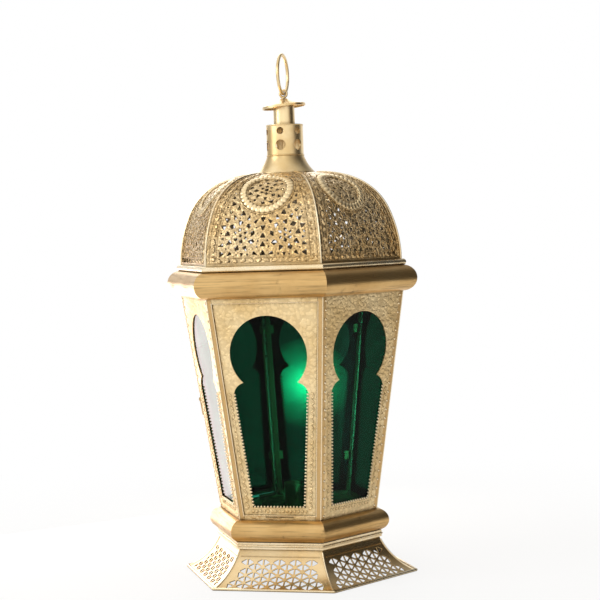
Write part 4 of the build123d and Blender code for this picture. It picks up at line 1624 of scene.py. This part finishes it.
@dataclass
class GlazedBody:
    """The tapered body: edging, stamped leaves and dots round its six windows, and its corners."""

    smith: Goldsmith
    plan: BodyPlan
    arch_drop: float = 0.0511
    arch_margin: float = 0.01405
    neck_step: float = 0.0105
    shoulder_drop: float = 0.0110
    shoulder_margin: float = 0.01225
    foot_rise: float = 0.0115
    foot_margin: float = 0.01395
    flange: float = 0.0046
    inset_depth: float = 0.001
    edging_reach: float = 0.0008
    edging: BossRow = BossRow(0.0030, (0.0021, 0.0026, 0.0022))
    door_edging: BossRow = BossRow(0.0030, (0.0021, 0.0026, 0.0008))
    leaves: BossRow = BossRow(0.0030, (0.0046, 0.0019, 0.0014), math.radians(42))
    foot_bosses: BossRow = BossRow(0.0034, (0.0026, 0.0032, 0.0014))
    foot_drop: float = 0.0034
    corner_dots: BossRow = BossRow(0.0080, (0.0026, 0.0026, 0.0018))
    corner_dot_inset: float = 0.0040
    corner_end: float = 0.0035
    inner_seam: Wire = Wire(0.0014)
    inner_seam_depth: float = 0.0032
    fold_wire: Wire = Wire(0.00060)
    fold_depth: float = 0.0002
    flange_wire: Wire = Wire(0.00050)
    flange_wire_inset: float = 0.0004
    strip_wire: Wire = Wire(0.00045)
    line_depth: float = 0.0001

    def __post_init__(self) -> None:
        """Works out the window from the plan."""
        self.front = BodyFace(self.plan, 0)
        arch_rise = self.plan.slope - self.arch_drop
        arch_radius = self.front.half_width(arch_rise) - self.arch_margin
        neck_half = arch_radius - self.neck_step
        neck_rise = arch_rise - math.sqrt(arch_radius**2 - neck_half**2)
        self.shoulder_rise = neck_rise - self.shoulder_drop
        self.shoulder_half = self.front.half_width(self.shoulder_rise) - self.shoulder_margin
        self.foot_half = self.front.half_width(self.foot_rise) - self.foot_margin

    def build(self) -> None:
        """Makes the ornament of all faces."""
        kinds = (Panel.INSET, Panel.WING, Panel.INSET, Panel.WING, Panel.DOOR, Panel.WING)
        faces = [BodyFace(self.plan, n) for n in range(FACES)]
        wings, insets, doors = (
            [face for face, kind in zip(faces, kinds) if kind is wanted]
            for wanted in (Panel.WING, Panel.INSET, Panel.DOOR)
        )
        lifts = {face: -self.inset_depth if face in insets else 0.0 for face in faces}
        fixed = [face for face in faces if face not in doors]
        for body, prefix, dressed, edging in (
            ("lantern", "body", fixed, self.edging),
            ("door", "door", doors, self.door_edging),
        ):
            for part, row, look, lines in (
                ("window_edging", edging, Look.TRIM, [self.window_sides()]),
                ("stamped_leaves", self.leaves, Look.PANEL, [self.strip(side) for side in SIDES]),
                ("stamped_foot_row", self.foot_bosses, Look.PANEL, [self.foot_row()]),
            ):
                paths = [Path.on(face, line, lifts[face]) for face in dressed for line in lines]
                self.smith.lay(f"{prefix}_{part}", row, paths, look, body)
        dots = [self.corner_line(side, self.corner_dot_inset) for side in SIDES]
        flanges = [self.corner_line(side, self.flange - self.flange_wire_inset) for side in SIDES]
        strips = [self.level_line(along) for along in self.strip_edges()]
        corner = [self.corner_line(1, 0.0)]
        for name, ornament, dressed, lines, depth in (
            ("wing_corner_dots", self.corner_dots, wings, dots, 0.0),
            ("inner_corner_seams", self.inner_seam, faces, corner, self.inner_seam_depth),
            ("folded_corner_edges", self.fold_wire, faces, corner, self.fold_depth),
            ("flange_edge_lines", self.flange_wire, insets, flanges, self.line_depth),
            ("strip_edge_lines", self.strip_wire, insets, strips, self.line_depth),
        ):
            self.smith.lay(name, ornament, Path.on_all(dressed, lines, -depth), Look.TRIM)

    def strip_edges(self) -> list[float]:
        """Lengths up the face of the sill strip's head and of the lintel strip's foot."""
        stand = (self.plan.head_z - self.plan.foot_z) / self.plan.slope
        sill_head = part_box("sill_strip_1")[1].z
        lintel_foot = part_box("lintel_strip_1")[0].z
        return [(height - self.plan.foot_z) / stand for height in (sill_head, lintel_foot)]

    def level_line(self, along: float) -> list[Point]:
        """A level line between the flanges of a face."""
        end = self.front.half_width(along) - self.flange
        return [(-end, along), (end, along)]

    def window_sides(self) -> list[Point]:
        """The window's straight sides and foot, a little inside their edge."""
        shoulder = (self.shoulder_half - self.edging_reach, self.shoulder_rise)
        foot = (self.foot_half - self.edging_reach, self.foot_rise + self.edging_reach)
        return [(-shoulder[0], shoulder[1]), (-foot[0], foot[1]), foot, shoulder]

    def strip(self, side: int) -> list[Point]:
        """Middle of the strip between a window's side and the flange beside it."""
        ends = ((self.foot_rise, self.foot_half), (self.shoulder_rise, self.shoulder_half))
        return [
            (side * (half + self.front.half_width(rise) - self.flange) / 2, rise)
            for rise, half in ends
        ]

    def foot_row(self) -> list[Point]:
        """Line under the window's foot."""
        rise = self.foot_rise - self.foot_drop
        return [(-self.foot_half, rise), (self.foot_half, rise)]

    def corner_line(self, side: int, inset: float) -> list[Point]:
        """A line along a slanted side of a face, inset from it and then shorter than the side."""
        end = self.corner_end if inset else 0.0
        rises = (end, self.plan.slope - end)
        return [(side * (self.front.half_width(rise) - inset), rise) for rise in rises]


@dataclass
class FootRolls:
    """Half-round rolls in the pale trim finish, painted as a highlight, that close the joints along the
    bands.
    """

    smith: Goldsmith
    dome_roll: Wire = Wire(0.0029, 14)
    base_roll: Wire = Wire(0.0010, 14)

    def build(self) -> None:
        """Lays a roll round the middle of the band under the dome and of the base band."""
        for name, node, roll in (
            ("dome_foot_roll", "dome_band", self.dome_roll),
            ("base_band_roll", "base_band", self.base_roll),
        ):
            low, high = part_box(node)
            self.smith.lay(name, roll, [level_ring(high.y, (low.z + high.z) / 2)], Look.TRIM)


@dataclass
class Chimney:
    """Solder and wire rings of the chimney."""

    smith: Goldsmith
    ring_radius: float = 0.0007

    def build(self) -> None:
        """Lays rings at the neck's rim and at both ends of the collar."""
        collar_low, collar_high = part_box("vent_collar")
        neck_low, neck_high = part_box("neck")
        rings = [
            (collar_high.x, collar_low.z),
            (collar_high.x - self.ring_radius / 2, collar_high.z - self.ring_radius),
            (neck_high.x - self.ring_radius / 2, neck_low.z + self.ring_radius / 2),
        ]
        paths = [self.ring(*ring) for ring in rings]
        self.smith.lay("chimney_rings", Wire(self.ring_radius), paths, Look.FINIAL)

    def ring(self, radius: float, height: float) -> Path:
        """A level circle round the axis."""
        outs = [Vector((x, y, 0.0)) for x, y in compass(64)]
        return Path([out * radius + Vector((0, 0, height)) for out in outs], outs, True)


@dataclass(frozen=True)
class Lamp:
    """A soft lamp, round or oval, that only its light and its mirror images show."""

    name: str
    place: Triple
    aim: Triple
    size: float
    power: float
    colour: Colour = (1.0, 1.0, 1.0)
    height: float = 0.0
    only_through: bool = False
    shown_through: bool = True

    def build(self) -> None:
        """Puts the lamp into the scene."""
        lamp = bpy.data.lights.new(self.name, "AREA")
        lamp.shape = "ELLIPSE"
        lamp.size = self.size
        lamp.size_y = self.height or self.size
        lamp.energy = self.power
        lamp.color = self.colour
        holder = bpy.data.objects.new(self.name, lamp)
        holder.location = self.place
        holder.rotation_euler = (Vector(self.aim) - Vector(self.place)).to_track_quat("-Z", "Y").to_euler()
        holder.visible_camera = False
        holder.visible_glossy = not self.only_through
        holder.visible_transmission = self.shown_through
        bpy.context.scene.collection.objects.link(holder)


MIDDLE = (0.0, 0.0, 0.24)
LAMPS = (
    Lamp("key_lamp", (-1.70, -1.05, 1.15), MIDDLE, size=1.5, power=14.0),
    Lamp("back_lamp", (-0.60, 1.40, 1.20), MIDDLE, size=1.2, power=7.0),
    Lamp("fill_lamp", (0.10, -1.90, 1.40), MIDDLE, size=1.2, power=4.0),
    Lamp("right_lamp", (1.25, -0.45, 0.85), MIDDLE, size=0.18, power=0.7, colour=(1.0, 0.74, 0.48)),
    Lamp("left_card", (-0.31, 0.21, 0.12), (-0.07, -0.04, 0.16), size=0.31, power=0.66,
         colour=(1.0, 0.85, 0.84)),
    Lamp("post_lamp", (0.01, -0.03, 0.165), (-0.01, 0.09, 0.160), size=0.02, power=0.10, height=0.17,
         shown_through=False),
    Lamp("door_post_lamp", (-0.03, 0.015, 0.165), (-0.055, 0.09, 0.160), size=0.02, power=0.04, height=0.17,
         shown_through=False),
    Lamp("dome_lamp", (0.0, 0.0, 0.27), (0.0, 0.0, 0.4), size=0.05, power=0.12, shown_through=False),
)


@dataclass
class Studio:
    """Floor, light and camera."""

    azimuth: float = math.radians(14.77)
    distance: float = 1.5201
    height: float = 0.3263
    yaw: float = math.radians(0.33)
    pitch: float = math.radians(-2.75)
    roll: float = math.radians(-2.02)
    lens: float = 97.6
    floor_half: float = 1.25
    floor_drop: float = 0.0003
    floor_glow: float = 0.78
    shadow_reach: float = 0.75
    matte_light: float = 0.85
    mirror_least: float = 0.03
    mirror_most: float = 1.1
    left_light: float = 0.46
    top_light: float = 0.90
    glow_place: Triple = (-0.117, 0.506, 0.124)
    glow_colour: Colour = (1.0, 0.93, 0.72)
    glow_size: float = 0.110
    glow_steps: int = 12
    glow_gap: float = 0.008
    glow_least: float = 0.9
    glow_core: Point = (12.0, 3.2)
    glow_halo: Point = (0.6, 1.9)

    def build(self) -> None:
        """Makes the stage."""
        self.make_floor()
        self.make_world()
        for lamp in (*LAMPS, *self.glow_lamps()):
            lamp.build()
        self.make_camera()
        bpy.context.scene.view_settings.view_transform = "Standard"

    def make_floor(self) -> None:
        """A plain pale floor that looks white and keeps the lantern's shadow."""
        mesh = bpy.data.meshes.new("floor")
        half = self.floor_half
        corners = [(-half, -half), (half, -half), (half, half), (-half, half)]
        mesh.from_pydata([(x, y, -self.floor_drop) for x, y in corners], [], [(0, 1, 2, 3)])
        floor = new_piece("floor", mesh)
        paint = Paint("pale_floor")
        cloud = paint.noise(paint.place(), 0.5, 2.0)
        matte = paint.node("ShaderNodeBsdfPrincipled", None, {
            "Base Color": paint.blend(cloud, (0.80, 0.79, 0.77), (0.83, 0.82, 0.80)),
            "Roughness": 0.9,
        })
        glow = paint.node("ShaderNodeEmission", None, {"Color": WHITE, "Strength": 1.0})
        seen = paint.node("ShaderNodeLightPath", output="Is Camera Ray")
        reach = paint.node("ShaderNodeVectorMath", {"operation": "LENGTH"}, {0: paint.place()}, "Value")
        far = paint.span(reach, self.shadow_reach * 0.35, self.shadow_reach)
        share = seen * (self.floor_glow + (1.0 - self.floor_glow) * far)
        shader = paint.node("ShaderNodeMixShader", None, {0: share, 1: matte, 2: glow})
        paint.node("ShaderNodeOutputMaterial", None, {"Surface": shader})
        floor.data.materials.append(paint.material)

    def make_world(self) -> None:
        """Soft surroundings: white to the camera, and for metal and glass light on four sides."""
        world = bpy.data.worlds.new("studio")
        bpy.context.scene.world = world
        world.use_nodes = True
        graph = Graph(world.node_tree)
        right, back, up = graph.split(graph.node("ShaderNodeTexCoord", output="Generated"))
        ahead = graph.span(0.0 - back, 0.05, 0.75) * (1.05 - 0.55 * graph.span(up, 0.12, 0.60))
        behind = graph.span(back, 0.50, 0.85) * (0.90 - 0.65 * graph.span(up, 0.12, 0.55))
        left = graph.span(0.0 - right, 0.10, 0.90) * self.left_light
        above = graph.span(up, 0.55, 1.0) * self.top_light * (1.0 - 0.6 * right)
        mirrored = self.mirror_least + ahead + behind + left + above
        mirrored = graph.math("MINIMUM", mirrored, self.mirror_most)
        camera, glossy, through = (
            graph.node("ShaderNodeLightPath", output=f"Is {label} Ray")
            for label in ("Camera", "Glossy", "Transmission")
        )
        other = graph.math("MAXIMUM", glossy, through)
        strength = self.matte_light + other * (mirrored - self.matte_light)
        strength = strength + camera * (1.0 - strength)
        inputs: Plugs = {"Color": (1.0, 0.985, 0.96, 1.0), "Strength": strength}
        shade = graph.node("ShaderNodeBackground", None, inputs)
        white = graph.node("ShaderNodeBackground", None, {"Color": WHITE, "Strength": 1.0})
        mixed = graph.node("ShaderNodeMixShader", None, {0: camera, 1: shade, 2: white})
        graph.node("ShaderNodeOutputWorld", None, {"Surface": mixed})

    def glow_lamps(self) -> list[Lamp]:
        """Stacked discs behind the lantern that make a glow, brightest in the middle, in its front window."""
        glow = Vector(self.glow_place)
        nearer = (self.camera_place() - glow).normalized()
        lamps = []
        for n in range(self.glow_steps):
            size = self.glow_size * (n + 1) / self.glow_steps
            radiance = self.glow_least
            for strength, fall in (self.glow_core, self.glow_halo):
                radiance += strength * math.exp(-((fall * n / self.glow_steps) ** 2))
            place = glow + nearer * (self.glow_gap * (self.glow_steps - n))
            lamps.append(Lamp(f"window_glow_{n + 1}", tuple(place), tuple(place + nearer), size,
                              radiance * math.pi * size**2, self.glow_colour, only_through=True))
        return lamps

    def camera_place(self) -> Vector:
        """Where the camera stands."""
        reach = self.distance
        return Vector((reach * math.sin(self.azimuth), -reach * math.cos(self.azimuth), self.height))

    def make_camera(self) -> None:
        """The camera at the photograph's angle."""
        sin_a, cos_a = math.sin(self.azimuth), math.cos(self.azimuth)
        ahead, right, up = Vector((-sin_a, cos_a, 0)), Vector((cos_a, sin_a, 0)), Vector((0, 0, 1))
        ahead, right = self.swung(ahead, right, self.yaw)
        ahead, up = self.swung(ahead, up, self.pitch)
        right, up = self.swung(right, up, self.roll)
        lens = bpy.data.cameras.new("camera")
        lens.lens = self.lens
        camera = bpy.data.objects.new("camera", lens)
        turn = Matrix((right, up, -ahead)).transposed().to_4x4()
        camera.matrix_world = Matrix.Translation(self.camera_place()) @ turn
        bpy.context.scene.collection.objects.link(camera)
        bpy.context.scene.camera = camera

    @staticmethod
    def swung(first: Vector, second: Vector, angle: float) -> tuple[Vector, Vector]:
        """Two square directions, the first turned towards the second."""
        return (
            math.cos(angle) * first + math.sin(angle) * second,
            math.cos(angle) * second - math.sin(angle) * first,
        )


def main() -> None:
    """Builds the lantern's looks and the studio round it."""
    logging.basicConfig(level=logging.INFO, format="%(message)s")
    workshop = Workshop()
    workshop.dress_nodes()
    smith = Goldsmith(workshop)
    PiercedDome(smith).build()
    PiercedFoot(smith).build()
    GlazedBody(smith, BodyPlan.from_frame()).build()
    FootRolls(smith).build()
    Chimney(smith).build()
    Studio().build()


if __name__ == "__main__":
    main()
